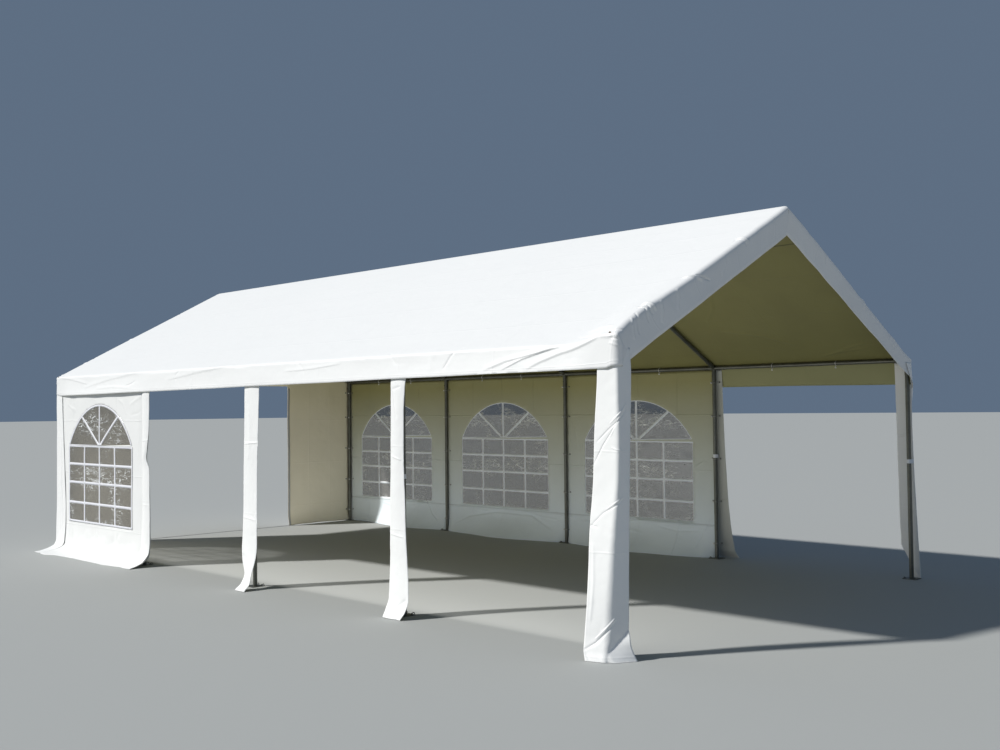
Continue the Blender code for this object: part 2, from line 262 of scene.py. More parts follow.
def strip_at(tree, coordinate, place, half_width):
    """1 on a strip round one place of a coordinate in metres, with soft edges."""
    beside = worked_out(tree, "ABSOLUTE", worked_out(tree, "SUBTRACT", coordinate, place))
    return ranged(tree, beside, half_width, half_width + SOFT_EDGE, 1.0, 0.0)


# %% A coated cloth
TAPE_WIDTH = 0.0032           # of the tapes in the weave
WAVE_LENGTH = math.tau / 20   # of a wave texture whose scale is 1


def coated_cloth(name, colour, shaded, folds, fold_start=(0.0, 0.0), lower=None, lower_from=(0.9, 1.9),
                 strips=(), strip_tone=1.0, fold_depth=0.004):
    """White coated cloth. folds are the distances between bag folds along the pattern's two axes.

    With lower, the colour turns into that one from lower_from[0] to lower_from[1] metres down.
    strips are seams and hems, as (axis, place, half width), and strip_tone darkens them.
    """
    made, tree, shader = new_finish(name)
    place = put(tree, "UVMap", uv_map="cloth").outputs["UV"]
    axes = put(tree, "SeparateXYZ", {0: place}).outputs

    cloud = clouds(tree, place, 1.7, Detail=4.0)
    patch = ranged(tree, cloud, 0.4, 0.7)
    base, dim = as_colour(colour), as_colour(shaded)
    if lower:
        down = ranged(tree, axes[1], *lower_from)
        base = blend_colours(tree, down, base, as_colour(lower))
        dim = blend_colours(tree, down, dim, as_colour([c * 0.94 for c in lower]))
    tone = blend_colours(tree, patch, base, dim)

    rough = ranged(tree, cloud, 0.0, 1.0, 0.42, 0.60)
    tree.links.new(rough, shader.inputs["Roughness"])
    shader.inputs["Sheen Weight"].default_value = 0.08
    shader.inputs["Sheen Roughness"].default_value = 0.4

    crumples = clouds(tree, place, 6.0, Detail=5.0, Roughness=0.5, Distortion=0.5)
    bent = bumped(tree, crumples, 0.30, 0.012)
    wobble = clouds(tree, place, 9.0)
    worn = clouds(tree, place, 2.3, Detail=2.0)
    for axis in (0, 1):
        moved = worked_out(tree, "SUBTRACT", axes[axis], fold_start[axis])
        shaky = worked_out(tree, "MULTIPLY_ADD", wobble, 0.012, moved)
        line = fold_lines(tree, shaky, folds[axis], 0.009)
        bent = bumped(tree, worked_out(tree, "MULTIPLY", line, worn), 0.6, fold_depth, Normal=bent)
    for axis, where, half_width in strips:
        strip = strip_at(tree, axes[axis], where, half_width)
        bent = bumped(tree, strip, 0.6, 0.0012, Normal=bent)
        if strip_tone < 1.0:
            share = worked_out(tree, "MULTIPLY", strip, 1.0 - strip_tone)
            tone = blend_colours(tree, share, tone, as_colour((0.0, 0.0, 0.0)))
    tree.links.new(tone, shader.inputs["Base Color"])

    tape_scale = WAVE_LENGTH / TAPE_WIDTH
    warp = put(tree, "TexWave", {"Vector": place, "Scale": tape_scale}, bands_direction="X").outputs[1]
    weft = put(tree, "TexWave", {"Vector": place, "Scale": tape_scale}, bands_direction="Y").outputs[1]
    weave = worked_out(tree, "MAXIMUM", warp, weft)
    bent = bumped(tree, weave, 0.12, 0.0004, Normal=bent)
    tree.links.new(bent, shader.inputs["Normal"])
    return made


# %% The cloths of walls and sleeves
WALL_SEAMS = [(1, 1.575, 0.006)]     # a welded seam under the windows, that far down the cloth
# distances between the bag folds, across and down, and where they start
BAG_FOLDS, END_BAG_FOLDS, SLEEVE_FOLDS = (0.51, 0.57), (0.35, 0.57), (0.30, 0.62)
BAG_FOLDS_FROM, SLEEVE_FOLDS_FROM = (0.0, 0.46), (0.0, 0.03)
wall_white = coated_cloth("wall_cloth_outside", (0.86, 0.86, 0.845), (0.84, 0.84, 0.825),
                          BAG_FOLDS, BAG_FOLDS_FROM, strips=WALL_SEAMS, fold_depth=0.007)
# Inside of the walls: painted shade and painted glow of light through the cloth, olive at the top and
# lighter, bluish, towards the ground.
wall_shade = coated_cloth("wall_cloth_inside", (0.37, 0.345, 0.150), (0.35, 0.33, 0.150),
                          BAG_FOLDS, BAG_FOLDS_FROM, lower=(0.82, 0.90, 0.95), lower_from=(0.1, 1.6),
                          strips=WALL_SEAMS, strip_tone=0.80, fold_depth=0.011)
# Inside of the end wall: painted glow of light through the cloth, beige, lighter towards the ground.
end_wall_shade = coated_cloth("end_wall_cloth_inside", (0.80, 0.72, 0.40), (0.76, 0.69, 0.39),
                              END_BAG_FOLDS, BAG_FOLDS_FROM, lower=(0.98, 0.91, 0.73),
                              lower_from=(0.2, 1.6))
sleeve_white = coated_cloth("sleeve_cloth", (0.90, 0.90, 0.885), (0.88, 0.88, 0.865),
                            SLEEVE_FOLDS, SLEEVE_FOLDS_FROM, fold_depth=0.003)
# Inside of the sleeves: painted shade.
sleeve_shade = coated_cloth("sleeve_cloth_inside", (0.54, 0.55, 0.51), (0.51, 0.52, 0.49),
                            SLEEVE_FOLDS, SLEEVE_FOLDS_FROM, fold_depth=0.003)
print("cloth materials:", [m.name for m in bpy.data.materials if "cloth" in m.name])

# %% [markdown]
# ## Cutting and hanging cloth
# A sheet starts as a flat pattern, measured in metres along its width and down its length. The
# pattern is either a plain grid or, for a wall with a window, a shape filled with even triangles.
# A function then says where each place of the pattern hangs. Solidify gives the sheet its
# thickness, and its second material goes on the inner side.

# %% Small measuring helpers
def mix(a, b, share):
    return a + (b - a) * share


def steps_between(start, end, step):
    """Places from start to end, without start, about one step apart."""
    count = max(1, round((end - start) / step))
    return [mix(start, end, i / count) for i in range(1, count + 1)]


def smooth(share):
    """From 0 to 1 with a soft start and a soft end."""
    share = min(max(share, 0.0), 1.0)
    return share * share * (3 - 2 * share)


def ripple(a, b, size, seed):
    """Soft unevenness between -1 and 1, with hollows about one size apart."""
    return noise.noise(Vector((a / size, b / size, seed * 5.7)))


def crumple(a, b, size, seed):
    """Unevenness with sharp valleys, as in cloth that was folded small."""
    return abs(ripple(a, b, size, seed)) + 0.5 * abs(ripple(a, b, size * 0.45, seed + 3))


print("halfway between 2 and 4:", mix(2, 4, 0.5), "and a quarter, made smooth:", smooth(0.25))


# %% Creases
def crease(points, height, width, steep=0):
    """A fold through some places of the pattern. It can be steep on its left (1) or right (-1) side."""
    reach = 3 * width
    low = [min(axis) - reach for axis in zip(*points)]
    high = [max(axis) + reach for axis in zip(*points)]
    return low, high, points, height, width, steep


def creased(a, b, creases):
    """Height of the creases at a place of the pattern."""
    total = 0.0
    for low, high, points, height, width, steep in creases:
        if not (low[0] < a < high[0] and low[1] < b < high[1]):
            continue
        nearest, side, along, run = 3 * width, 0.0, 0.0, 0.0
        for (a0, b0), (a1, b1) in zip(points, points[1:]):
            run_a, run_b = a1 - a0, b1 - b0
            length = math.hypot(run_a, run_b)
            share = min(max(((a - a0) * run_a + (b - b0) * run_b) / length ** 2, 0.0), 1.0)
            off_a, off_b = a - a0 - share * run_a, b - b0 - share * run_b
            if math.hypot(off_a, off_b) < nearest:
                nearest = math.hypot(off_a, off_b)
                side = run_a * off_b - run_b * off_a
                along = run + share * length
            run += length
        if along > 0.0:
            slim = width * (0.28 if side * steep > 0 else 1.0)
            total += height * math.exp(-(nearest / slim) ** 2) * (1 - (2 * along / run - 1) ** 6)
    return total


ONE_CREASE = [crease([(0, 0), (1, 0)], 0.004, 0.01)]
print("a crease of 4 mm, measured at its middle:", round(creased(0.5, 0, ONE_CREASE), 4), "m")


# %% A smooth curve through measured rows
def through(rows, height):
    """A smooth curve through rows of (height, value, value, ...), read at one height."""
    heights = [row[0] for row in rows]
    height = min(max(height, heights[0]), heights[-1])
    upper = next(i for i, h in enumerate(heights) if h >= height and i > 0)
    around = [rows[min(max(upper + step, 0), len(rows) - 1)] for step in (-2, -1, 0, 1)]
    span = around[2][0] - around[1][0]
    t = (height - around[1][0]) / span
    values = []
    for p0, p1, p2, p3 in list(zip(*around))[1:]:
        gap0 = max(around[1][0] - around[0][0], span)
        gap1 = max(around[3][0] - around[2][0], span)
        slope1 = (p2 - p0) / (span + gap0) * span
        slope2 = (p3 - p1) / (span + gap1) * span
        values.append((2 * t ** 3 - 3 * t ** 2 + 1) * p1 + (t ** 3 - 2 * t ** 2 + t) * slope1
                      + (3 * t ** 2 - 2 * t ** 3) * p2 + (t ** 3 - t ** 2) * slope2)
    return values


print("halfway between rows that say 0 and 2:", through([(0, 0.0), (1, 2.0)], 0.5))


# %% Patterns
def grid_pattern(across, along):
    """A rectangular pattern with its grid lines at the given places."""
    pattern = bmesh.new()
    bmesh.ops.create_grid(pattern, x_segments=len(across) - 1, y_segments=len(along) - 1, size=0.5)
    for vert in pattern.verts:
        vert.co.x = across[round((vert.co.x + 0.5) * (len(across) - 1))]
        vert.co.y = along[round((vert.co.y + 0.5) * (len(along) - 1))]
    return pattern


def spread_points(outline, step):
    """Adds points to the long sides of an outline."""
    points = []
    for (x0, y0), (x1, y1) in zip(outline, outline[1:] + outline[:1]):
        count = max(1, round(math.hypot(x1 - x0, y1 - y0) / step))
        points += [(mix(x0, x1, i / count), mix(y0, y1, i / count)) for i in range(count)]
    return points


def inside(outline, x, y):
    found = False
    for (x0, y0), (x1, y1) in zip(outline, outline[1:] + outline[:1]):
        if (y0 > y) != (y1 > y) and x < x0 + (y - y0) / (y1 - y0) * (x1 - x0):
            found = not found
    return found


def cut_pattern(outlines, keep, step):
    """A pattern of even triangles: the places where keep(x, y) is true, with edges on the outlines."""
    points, edges = [], []
    for outline in outlines:
        first, count = len(points), len(outline)
        points += outline
        edges += [(first + i, first + (i + 1) % count) for i in range(count)]
    rim = np.array(points)
    low, high = rim.min(0), rim.max(0)
    for row in range(1, int((high[1] - low[1]) / (step * 0.87)) + 1):
        y = low[1] + row * step * 0.87
        for column in range(int((high[0] - low[0]) / step) + 1):
            x = low[0] + (column + 0.5 * (row % 2)) * step
            if keep(x, y) and np.hypot(rim[:, 0] - x, rim[:, 1] - y).min() > step * 0.55:
                points.append((x, y))
    made = geometry.delaunay_2d_cdt([Vector(p) for p in points], edges, [], 0, 1e-6)
    pattern = bmesh.new()
    verts = [pattern.verts.new((*place, 0.0)) for place in made[0]]
    for corners in made[2]:
        centre = sum((made[0][i] for i in corners), Vector((0, 0))) / len(corners)
        if keep(*centre):
            pattern.faces.new([verts[i] for i in corners])
    loose = [v for v in pattern.verts if not v.link_faces]
    bmesh.ops.delete(pattern, geom=loose, context="VERTS")
    return pattern


# %% Finer patterns where the creases are
def refine(pattern, creases, rounds=3):
    """Halves the edges of a pattern near narrow creases, so that the mesh can show them."""
    for _ in range(rounds):
        found = []
        for edge in pattern.edges:
            spot = (edge.verts[0].co + edge.verts[1].co) / 2
            length = edge.calc_length()
            for low, high, points, _, width, steep in creases:
                fine = (0.35 if steep else 0.7) * width
                near = low[0] < spot.x < high[0] and low[1] < spot.y < high[1]
                if length < fine or not near:
                    continue
                if min(off_line(spot, a, b) for a, b in zip(points, points[1:])) < 1.6 * width + length / 2:
                    found.append(edge)
                    break
        bmesh.ops.subdivide_edges(pattern, edges=found, cuts=1, use_grid_fill=True)


def off_line(spot, start, end):
    """How far a place lies from the line between two others."""
    run_a, run_b = end[0] - start[0], end[1] - start[1]
    share = ((spot.x - start[0]) * run_a + (spot.y - start[1]) * run_b) / (run_a ** 2 + run_b ** 2)
    share = min(max(share, 0.0), 1.0)
    return math.hypot(spot.x - start[0] - share * run_a, spot.y - start[1] - share * run_b)


# %% Hanging a pattern
CLOTH_T = 0.0014


def finish_mesh(name, bm, materials, smooth_angle=None):
    """Puts a finished bmesh in the scene. Its edges sharper than smooth_angle degrees stay sharp."""
    mesh = bpy.data.meshes.new(name)
    bm.to_mesh(mesh)
    bm.free()
    for used in materials:
        mesh.materials.append(used)
    if smooth_angle:
        mesh.shade_smooth()
        mesh.set_sharp_from_angle(angle=math.radians(smooth_angle))
    piece = bpy.data.objects.new(name, mesh)
    bpy.context.scene.collection.objects.link(piece)
    return piece


def hang(name, pattern, shape, outward, materials, thickness=CLOTH_T, creases=()):
    """Hangs a flat pattern. shape(a, b) is where a place of it goes, and outward its outer side."""
    refine(pattern, creases)
    layer = pattern.loops.layers.uv.new("cloth")
    for face in pattern.faces:
        for loop in face.loops:
            loop[layer].uv = loop.vert.co.xy
    area = sum(face.calc_area() for face in pattern.faces)
    for vert in pattern.verts:
        vert.co = shape(vert.co.x, vert.co.y)
    pattern.normal_update()
    facing = sum((face.normal * face.calc_area() for face in pattern.faces), Vector())
    if facing.dot(Vector(outward)) < 0:
        bmesh.ops.reverse_faces(pattern, faces=pattern.faces)
    faces = len(pattern.faces)
    piece = finish_mesh(name, pattern, materials, 60)
    shell = piece.modifiers.new("thickness", "SOLIDIFY")
    shell.thickness = thickness
    shell.offset = 0.0
    if len(materials) > 1:
        shell.material_offset = 1
    print(f"{name}: {faces} faces, {area:.2f} m2 of cloth")
    return piece, area


# %% [markdown]
# ## The roof cover
# The cover is one sheet. It runs from the front valance over the eave, the ridge and the back eave
# to the back valance, and at both ends it turns down over the rafters and makes a band. Its pattern
# has one axis along the ridge and one across the tent. A section tells where each place across the
# tent lies and which way it faces, and at the ends the sheet rolls over round a small radius. The
# lines of the pattern lie close together only where there are folds to show.

# %% The section of the roof
COVER_OFF = 0.0262            # from the middle of a tube to the middle of the cloth
VALANCE_OUT = 0.0304          # how far the valance hangs outside the middle of the posts
HEM_Z = 1.745
EAVE_ROWS, RIDGE_ROWS = 7, 2
FRONT_VALANCE_ROWS, BACK_VALANCE_ROWS = 12, 8
FRONT_ROWS, BACK_ROWS = 60, 36    # rows up each slope


def half_section(valance_rows, slope_rows):
    """Places (y, z) and facings (y, z) from the hem of the front valance up to the ridge."""
    rows = []
    out = VALANCE_OUT - COVER_OFF
    eave_y, eave_z = FRONT_Y - out, EAVE_Z - out * math.tan(PITCH)
    for i in range(valance_rows):
        rows.append((FRONT_Y - VALANCE_OUT, mix(HEM_Z, eave_z, i / valance_rows), -1.0, 0.0))
    steep = math.pi / 2 + PITCH
    for i in range(EAVE_ROWS):
        a = mix(math.pi, steep, i / (EAVE_ROWS - 1))
        rows.append((eave_y + COVER_OFF * math.cos(a), eave_z + COVER_OFF * math.sin(a),
                     math.cos(a), math.sin(a)))
    start = rows[-1]
    end = (COVER_OFF * math.cos(steep), RIDGE_Z + COVER_OFF * math.sin(steep))
    for i in range(1, slope_rows + 1):
        share = i / slope_rows
        rows.append((mix(start[0], end[0], share), mix(start[1], end[1], share), start[2], start[3]))
    for i in range(1, RIDGE_ROWS + 1):
        a = mix(steep, math.pi / 2, i / RIDGE_ROWS)
        rows.append((COVER_OFF * math.cos(a), RIDGE_Z + COVER_OFF * math.sin(a), math.cos(a), math.sin(a)))
    return rows


front_half = half_section(FRONT_VALANCE_ROWS, FRONT_ROWS)
back_half = half_section(BACK_VALANCE_ROWS, BACK_ROWS)
SECTION = front_half + [(-y, z, -ny, nz) for y, z, ny, nz in back_half[-2::-1]]
SECTION_B = [0.0]
for before, after in zip(SECTION, SECTION[1:]):
    SECTION_B.append(SECTION_B[-1] + math.hypot(after[0] - before[0], after[1] - before[1]))
COVER_LENGTH = SECTION_B[-1]
EAVE_B = SECTION_B[FRONT_VALANCE_ROWS + EAVE_ROWS // 2]
SLOPE_B = SECTION_B[FRONT_VALANCE_ROWS + EAVE_ROWS - 1]
VALANCE_B = SECTION_B[FRONT_VALANCE_ROWS]
VALANCE_TOP_Z = SECTION[FRONT_VALANCE_ROWS][1]
SLOPE_START_Y = SECTION[FRONT_VALANCE_ROWS + EAVE_ROWS - 1][0]
SECTION_AXES = list(zip(*SECTION))


def section_at(b):
    """Place (y, z) and facing (y, z) of the section at a place across the cover."""
    return [float(np.interp(b, SECTION_B, axis)) for axis in SECTION_AXES]


print("cover length across the tent:", round(COVER_LENGTH, 3), "m in", len(SECTION), "rows")

# %% [markdown]
# The end rafters carry the cover's turn. At the open end it was pulled a little past the rafter,
# more at the front than at the back, and it turns more softly low down than under the ridge.

# %% The turn over the end rafters
END_X = POST_X[-1] + VALANCE_OUT
CREST_RADIUS = 0.035
FLAT_HALF = END_X - CREST_RADIUS
CREST_LEN = 0.060             # cloth in the turn
BAND_LEN = 0.17
ROOF_HALF = FLAT_HALF + CREST_LEN + BAND_LEN
BAND_FOOT = (2.045, 1.772)    # the band's inner edge at the corner, and under the ridge
BAND_TOP_Z = 2.81
OPEN_CREST = [
    # place across the tent (0 front hem, 1 ridge, 2 back hem), how far past the rafter, radius
    (0.0, 0.030, 0.050), (0.07, 0.028, 0.045), (0.14, 0.006, 0.036), (0.40, 0.002, 0.036),
    (0.85, 0.012, 0.036), (1.0, 0.022, 0.035), (1.9, 0.002, 0.036), (2.0, 0.002, 0.036),
]
# how much the open end stands up above the rafter, by place y
OPEN_RISE = [(-2.10, 0.050), (-1.95, 0.062), (-1.75, 0.058), (-1.50, 0.035), (-1.20, 0.015),
             (-0.60, 0.005), (0.0, 0.0)]
EASED = 0.5                   # how far from the end the pull fades
EAVE_TURN = 0.020             # the radius of the turn beside the eave tubes


def crest(b, end):
    """Where the flat part of the cover ends, and the radius of the turn after it."""
    near_eave = math.exp(-((min(b, COVER_LENGTH - b) - EAVE_B) / 0.05) ** 2)
    if end < 0:
        radius = mix(CREST_RADIUS, EAVE_TURN, near_eave)
        return END_X - radius, radius
    past, radius = through(OPEN_CREST, 2 * b / COVER_LENGTH)
    slack = smooth(b / 0.4) * smooth((COVER_LENGTH - b) / 0.4)
    past += slack * (0.007 * ripple(b, 0.0, 0.30, 27) + 0.003 * ripple(b, 0.0, 0.11, 28))
    radius = mix(radius, EAVE_TURN, near_eave)
    return END_X + past - radius, radius


def open_rise(y, past):
    """How much the cover stands up near the open end."""
    across = float(np.interp(y, [row[0] for row in OPEN_RISE], [row[1] for row in OPEN_RISE]))
    band_share = max(0.0, past - CREST_LEN) / BAND_LEN
    return across * smooth(1 + past / 0.35) * (1 - band_share)


def slope_b(y):
    """The pattern's place of a y on the front slope."""
    return SLOPE_B + (y - SLOPE_START_Y) / math.cos(PITCH)


def hem_rise(x, side="front"):
    """How much higher than HEM_Z the hem of a valance lies. It steps up at the front corners."""
    share = (x - POST_X[0]) / (POST_X[-1] - POST_X[0])
    if side == "back":
        return mix(0.0, -0.036, share ** 2) + 0.004 * ripple(x, 1, 0.8, 22)
    rise = mix(-0.022, 0.026, share) + 0.004 * ripple(x, 0, 0.8, 21)
    return rise + 0.014 * smooth((abs(x) - FLAT_HALF + 0.02) / 0.02)


def valance_b(x, z):
    """The pattern's place of a height on the front valance."""
    hem = HEM_Z + hem_rise(x)
    return (z - hem) / (VALANCE_TOP_Z - hem) * VALANCE_B


print("the cover reaches", round(ROOF_HALF, 3), "m from its middle, with bands of", BAND_LEN, "m")

# %% [markdown]
# Some folds are too clear for noise. Each is a short line of places, with a height and a width. On
# the valance they pull from the corner and from the ties, and over the end rafters the cloth puckers.

# %% Folds of the front valance
# places (x, z) along each fold, its height, its width and its steep side
PULL_FOLDS = [
    ([(4.00, 1.925), (3.95, 1.918), (3.88, 1.934), (3.795, 1.918), (3.593, 1.878), (3.419, 1.828),
      (3.292, 1.779)], 0.0065, 0.026, 1),
    ([(3.60, 1.925), (3.473, 1.903), (3.275, 1.858), (3.070, 1.786)], 0.0055, 0.020, 1),
    ([(3.55, 1.922), (3.402, 1.893), (3.109, 1.846), (2.897, 1.788)], 0.0060, 0.024, 1),
    ([(2.655, 1.985), (2.555, 1.892), (2.491, 1.808)], -0.0035, 0.010, 0),
    ([(2.40, 1.98), (2.36, 1.88), (2.37, 1.80)], 0.0030, 0.030, 0),
    ([(1.845, 1.974), (1.915, 1.918), (1.97, 1.86)], -0.0025, 0.009, 0),
    ([(1.62, 1.965), (1.603, 1.946), (1.52, 1.92)], -0.0030, 0.012, 0),
    ([(1.45, 1.96), (1.402, 1.939), (1.30, 1.93)], -0.0025, 0.012, 0),
    ([(1.30, 1.90), (0.9, 1.87), (0.5, 1.86)], 0.0030, 0.020, 1),
    ([(0.62, 1.955), (0.75, 1.90), (0.80, 1.83)], -0.0025, 0.010, 0),
    ([(-0.3, 1.95), (-0.9, 1.90), (-1.5, 1.84)], 0.0035, 0.026, 1),
    ([(-1.2, 1.96), (-1.32, 1.88), (-1.30, 1.80)], -0.0025, 0.010, 0),
    ([(-2.1, 1.93), (-2.7, 1.88), (-3.3, 1.80)], 0.0035, 0.026, 1),
    ([(-3.95, 1.93), (-3.6, 1.90), (-3.2, 1.84)], 0.0040, 0.018, -1),
    ([(-3.0, 1.79), (-2.6, 1.80), (-2.2, 1.78)], 0.0030, 0.012, 0),
    ([(-2.32, 1.80), (-2.20, 1.82), (-2.12, 1.85)], -0.0030, 0.009, 0),
]
valance_creases = [crease([(x, valance_b(x, z)) for x, z in places], height, width, steep)
                   for places, height, width, steep in PULL_FOLDS]
print("folds of the front valance:", len(valance_creases))

# %% Puckers over the end rafters
# places (past the flat part, y) along each pucker on the front slope, its height and its width
OPEN_PUCKERS = [
    ([(-0.050, -1.235), (0.025, -1.195), (0.070, -1.150), (0.125, -1.085)], -0.0095, 0.0070),
    ([(-0.045, -1.260), (0.030, -1.215), (0.085, -1.155)], 0.0080, 0.0120),
    ([(-0.040, -0.625), (0.020, -0.610), (0.085, -0.600)], -0.0080, 0.0065),
    ([(-0.040, -0.592), (0.020, -0.580), (0.075, -0.575)], 0.0060, 0.0090),
    ([(-0.045, -1.735), (0.020, -1.720), (0.090, -1.735)], -0.0095, 0.0070),
    ([(-0.035, -1.775), (0.025, -1.760), (0.110, -1.800)], -0.0070, 0.0070),
    ([(-0.050, -1.700), (0.020, -1.690), (0.080, -1.690)], 0.0085, 0.0110),
    ([(0.000, -1.845), (0.060, -1.870), (0.130, -1.930)], -0.0060, 0.0080),
    ([(0.020, -1.905), (0.070, -1.940), (0.130, -1.990)], 0.0050, 0.0090),
    ([(0.040, -1.610), (0.100, -1.640), (0.160, -1.700)], 0.0050, 0.0100),
    ([(0.030, -1.420), (0.090, -1.450), (0.150, -1.510)], 0.0040, 0.0120),
    ([(0.050, -0.860), (0.100, -0.890), (0.150, -0.950)], 0.0035, 0.0120),
    ([(-0.300, -1.950), (-0.160, -1.965), (-0.040, -2.000)], 0.0035, 0.0100),
]
# pleats that run from the eyelet of a corner to the turn, as (past the flat part, b past the eave)
CORNER_PLEATS = [
    ([(-0.035, 0.030), (0.000, 0.045), (0.040, 0.065)], -0.0035, 0.0060),
    ([(-0.030, -0.020), (0.005, -0.028), (0.050, -0.032)], -0.0035, 0.0060),
    ([(-0.032, 0.045), (0.000, 0.062), (0.050, 0.090)], 0.0035, 0.0070),
    ([(-0.030, -0.045), (0.010, -0.062), (0.050, -0.075)], 0.0030, 0.0070),
    ([(-0.100, 0.030), (-0.200, 0.045), (-0.320, 0.085)], -0.0030, 0.0080),
]
# places (x, y) of shallow wrinkles in the back slope
BACK_WRINKLES = [
    [(2.71, 0.97), (2.60, 1.16), (2.40, 1.36)], [(3.32, 1.97), (3.55, 1.88), (3.72, 1.82)],
    [(3.23, 2.00), (3.47, 1.93), (3.74, 1.90)], [(2.45, 1.50), (2.84, 1.62), (3.09, 1.80)],
]
# how far up each slope the plainer puckers of the other rafters lie
PLAIN_PUCKERS = [(0.15, 0.004), (0.20, -0.004), (0.42, 0.005), (0.73, -0.004)]
print("puckers of the open end:", len(OPEN_PUCKERS), "and pleats of a corner:", len(CORNER_PLEATS))


# %% All folds of the roof cover
def mirrored(line):
    """The same line on the other slope."""
    return [(a, COVER_LENGTH - b) for a, b in line]


def crest_creases():
    found = []
    for places, height, width in OPEN_PUCKERS:
        found.append(crease([(FLAT_HALF + past, slope_b(y)) for past, y in places], height, width))
    for places in BACK_WRINKLES:
        found.append(crease([(x, COVER_LENGTH - slope_b(-y)) for x, y in places], -0.0045, 0.016))
    slope = COVER_LENGTH / 2 - SLOPE_B
    for end, side in ((1, -1), (-1, -1), (-1, 1), (1, 1)):
        for places, height, width in CORNER_PLEATS:
            line = [(end * (FLAT_HALF + past), EAVE_B + up) for past, up in places]
            if side > 0:
                line = mirrored(line)
            found.append(crease(line, height * (1.0 if side < 0 else 0.5), width))
        if (end, side) == (1, -1):
            continue
        for share, height in PLAIN_PUCKERS:
            b = SLOPE_B + slope * share
            line = [(end * (FLAT_HALF - 0.05), b + 0.02), (end * (FLAT_HALF + 0.12), b - 0.03)]
            if side > 0:
                line = mirrored(line)
            found.append(crease(line, height, 0.011))
    return found


ROOF_CREASES = valance_creases + crest_creases()
print("folds of the roof cover:", len(ROOF_CREASES))


# %% How the roof cloth is uneven
def roof_relief(a, b):
    """How far the cover lies outside its plain shape at a place of the pattern."""
    edge_b = min(b, COVER_LENGTH - b)
    bay = abs(math.sin(math.pi * (a - POST_X[0]) / (POST_X[1] - POST_X[0])))
    if edge_b < VALANCE_B:
        hang_share = 1 - edge_b / VALANCE_B
        height = 0.018 * hang_share ** 1.3 + 0.006 * hang_share * ripple(a, edge_b, 0.42, 2)
        height += 0.004 * ripple(a, edge_b, 0.9, 5) * math.sin(math.pi * hang_share)
        height += 0.002 * crumple(a, edge_b, 0.16, 8)
        closed_bay = smooth((a + 3.9) / 0.3) * smooth((-1.72 - a) / 0.35)
        height += 0.012 * closed_bay * hang_share ** 1.5
        height *= 1 - 0.8 * smooth((abs(a) - FLAT_HALF + 0.35) / 0.3)
    else:
        slope_share = (edge_b - SLOPE_B) / (COVER_LENGTH / 2 - SLOPE_B)
        slope_share = min(max(slope_share, 0.0), 1.0)
        sag = math.sin(math.pi * slope_share)
        height = -0.008 * bay ** 2 * sag + 0.003 * ripple(a, b, 0.7, 11) * sag
        near_eave = math.exp(-(slope_share / 0.09) ** 2)
        worn = 0.0015 if b < COVER_LENGTH / 2 else 0.0035
        height += 0.003 * ripple(a, b, 0.33, 13) * near_eave + worn * crumple(a, b, 0.3, 17) * sag
    return height + creased(a, b, ROOF_CREASES)


# %% Where each place of the roof pattern hangs
def roof_place(a, b):
    y, z, ny, nz = section_at(b)
    end = 1 if a > 0 else -1
    flat_end, radius = crest(b, end)
    past = abs(a) - FLAT_HALF
    edge_b = min(b, COVER_LENGTH - b)
    x = a + end * (flat_end - FLAT_HALF) * smooth(1 + past / EASED)
    if edge_b < VALANCE_B:
        at_x = min(max(a, -FLAT_HALF), FLAT_HALF)
        z += hem_rise(at_x, "front" if b < VALANCE_B else "back") * (1 - edge_b / VALANCE_B)
    relief = roof_relief(a, b)
    if end > 0:
        z += open_rise(y, past) * min(1.0, edge_b / VALANCE_B)
    if past <= 0:
        return Vector((x, y + ny * relief, z + nz * relief))
    angle = min(past / CREST_LEN, 1.0) * math.pi / 2
    drop = radius * (1 - math.cos(angle))
    across, up = y - ny * drop, z - nz * drop
    x = end * (flat_end + radius * math.sin(angle))
    if past > CREST_LEN:
        climb = edge_b / (COVER_LENGTH / 2)
        side = -1 if b < COVER_LENGTH / 2 else 1
        inner = (side * BAND_FOOT[0] * (1 - climb), mix(BAND_FOOT[1], BAND_TOP_Z, climb))
        share = (past - CREST_LEN) / BAND_LEN
        across, up = mix(across, inner[0], share), mix(up, inner[1], share)
        wander = 0.008 * ripple(a, b, 0.28, 24)
        if end < 0:
            wander = abs(wander) * 0.5 + 0.001
        x = mix(x, end * END_X, share)
        relief += 0.0025 * crumple(a, b, 0.13, 23) + share * wander
    turn_out = math.sin(angle)
    face = math.cos(angle)
    return Vector((x + end * turn_out * relief, across + ny * face * relief, up + nz * face * relief))


# %% The roof's own cloth, with its seams and hems
RIDGE_SEAM_Y = 0.43
HEM_WIDTH = 0.03
ROOF_FOLDS = (1.0, 0.58)      # distances between its bag folds
ridge_seam = slope_b(-RIDGE_SEAM_Y)
roof_seams = [(1, ridge_seam, 0.006), (1, COVER_LENGTH - ridge_seam, 0.006)]
roof_seams += [(1, HEM_WIDTH, 0.0015), (1, COVER_LENGTH - HEM_WIDTH, 0.0015)]
roof_seams += [(0, ROOF_HALF - HEM_WIDTH, 0.0015), (0, HEM_WIDTH - ROOF_HALF, 0.0015)]
roof_white = coated_cloth("roof_cloth_outside", (0.86, 0.86, 0.85), (0.84, 0.84, 0.83),
                          ROOF_FOLDS, strips=roof_seams)
back_valance_from = COVER_LENGTH - VALANCE_B
# Inside of the cover: painted shade and the painted olive glow of light through the cloth, lighter on the
# back valance.
roof_shade = coated_cloth("roof_cloth_inside", (0.245, 0.228, 0.080), (0.222, 0.206, 0.074),
                          ROOF_FOLDS, lower=(0.333, 0.326, 0.147),
                          lower_from=(back_valance_from - 0.03, back_valance_from),
                          strips=roof_seams[:2], strip_tone=0.5)
print("seams and hems of the cover:", len(roof_seams))

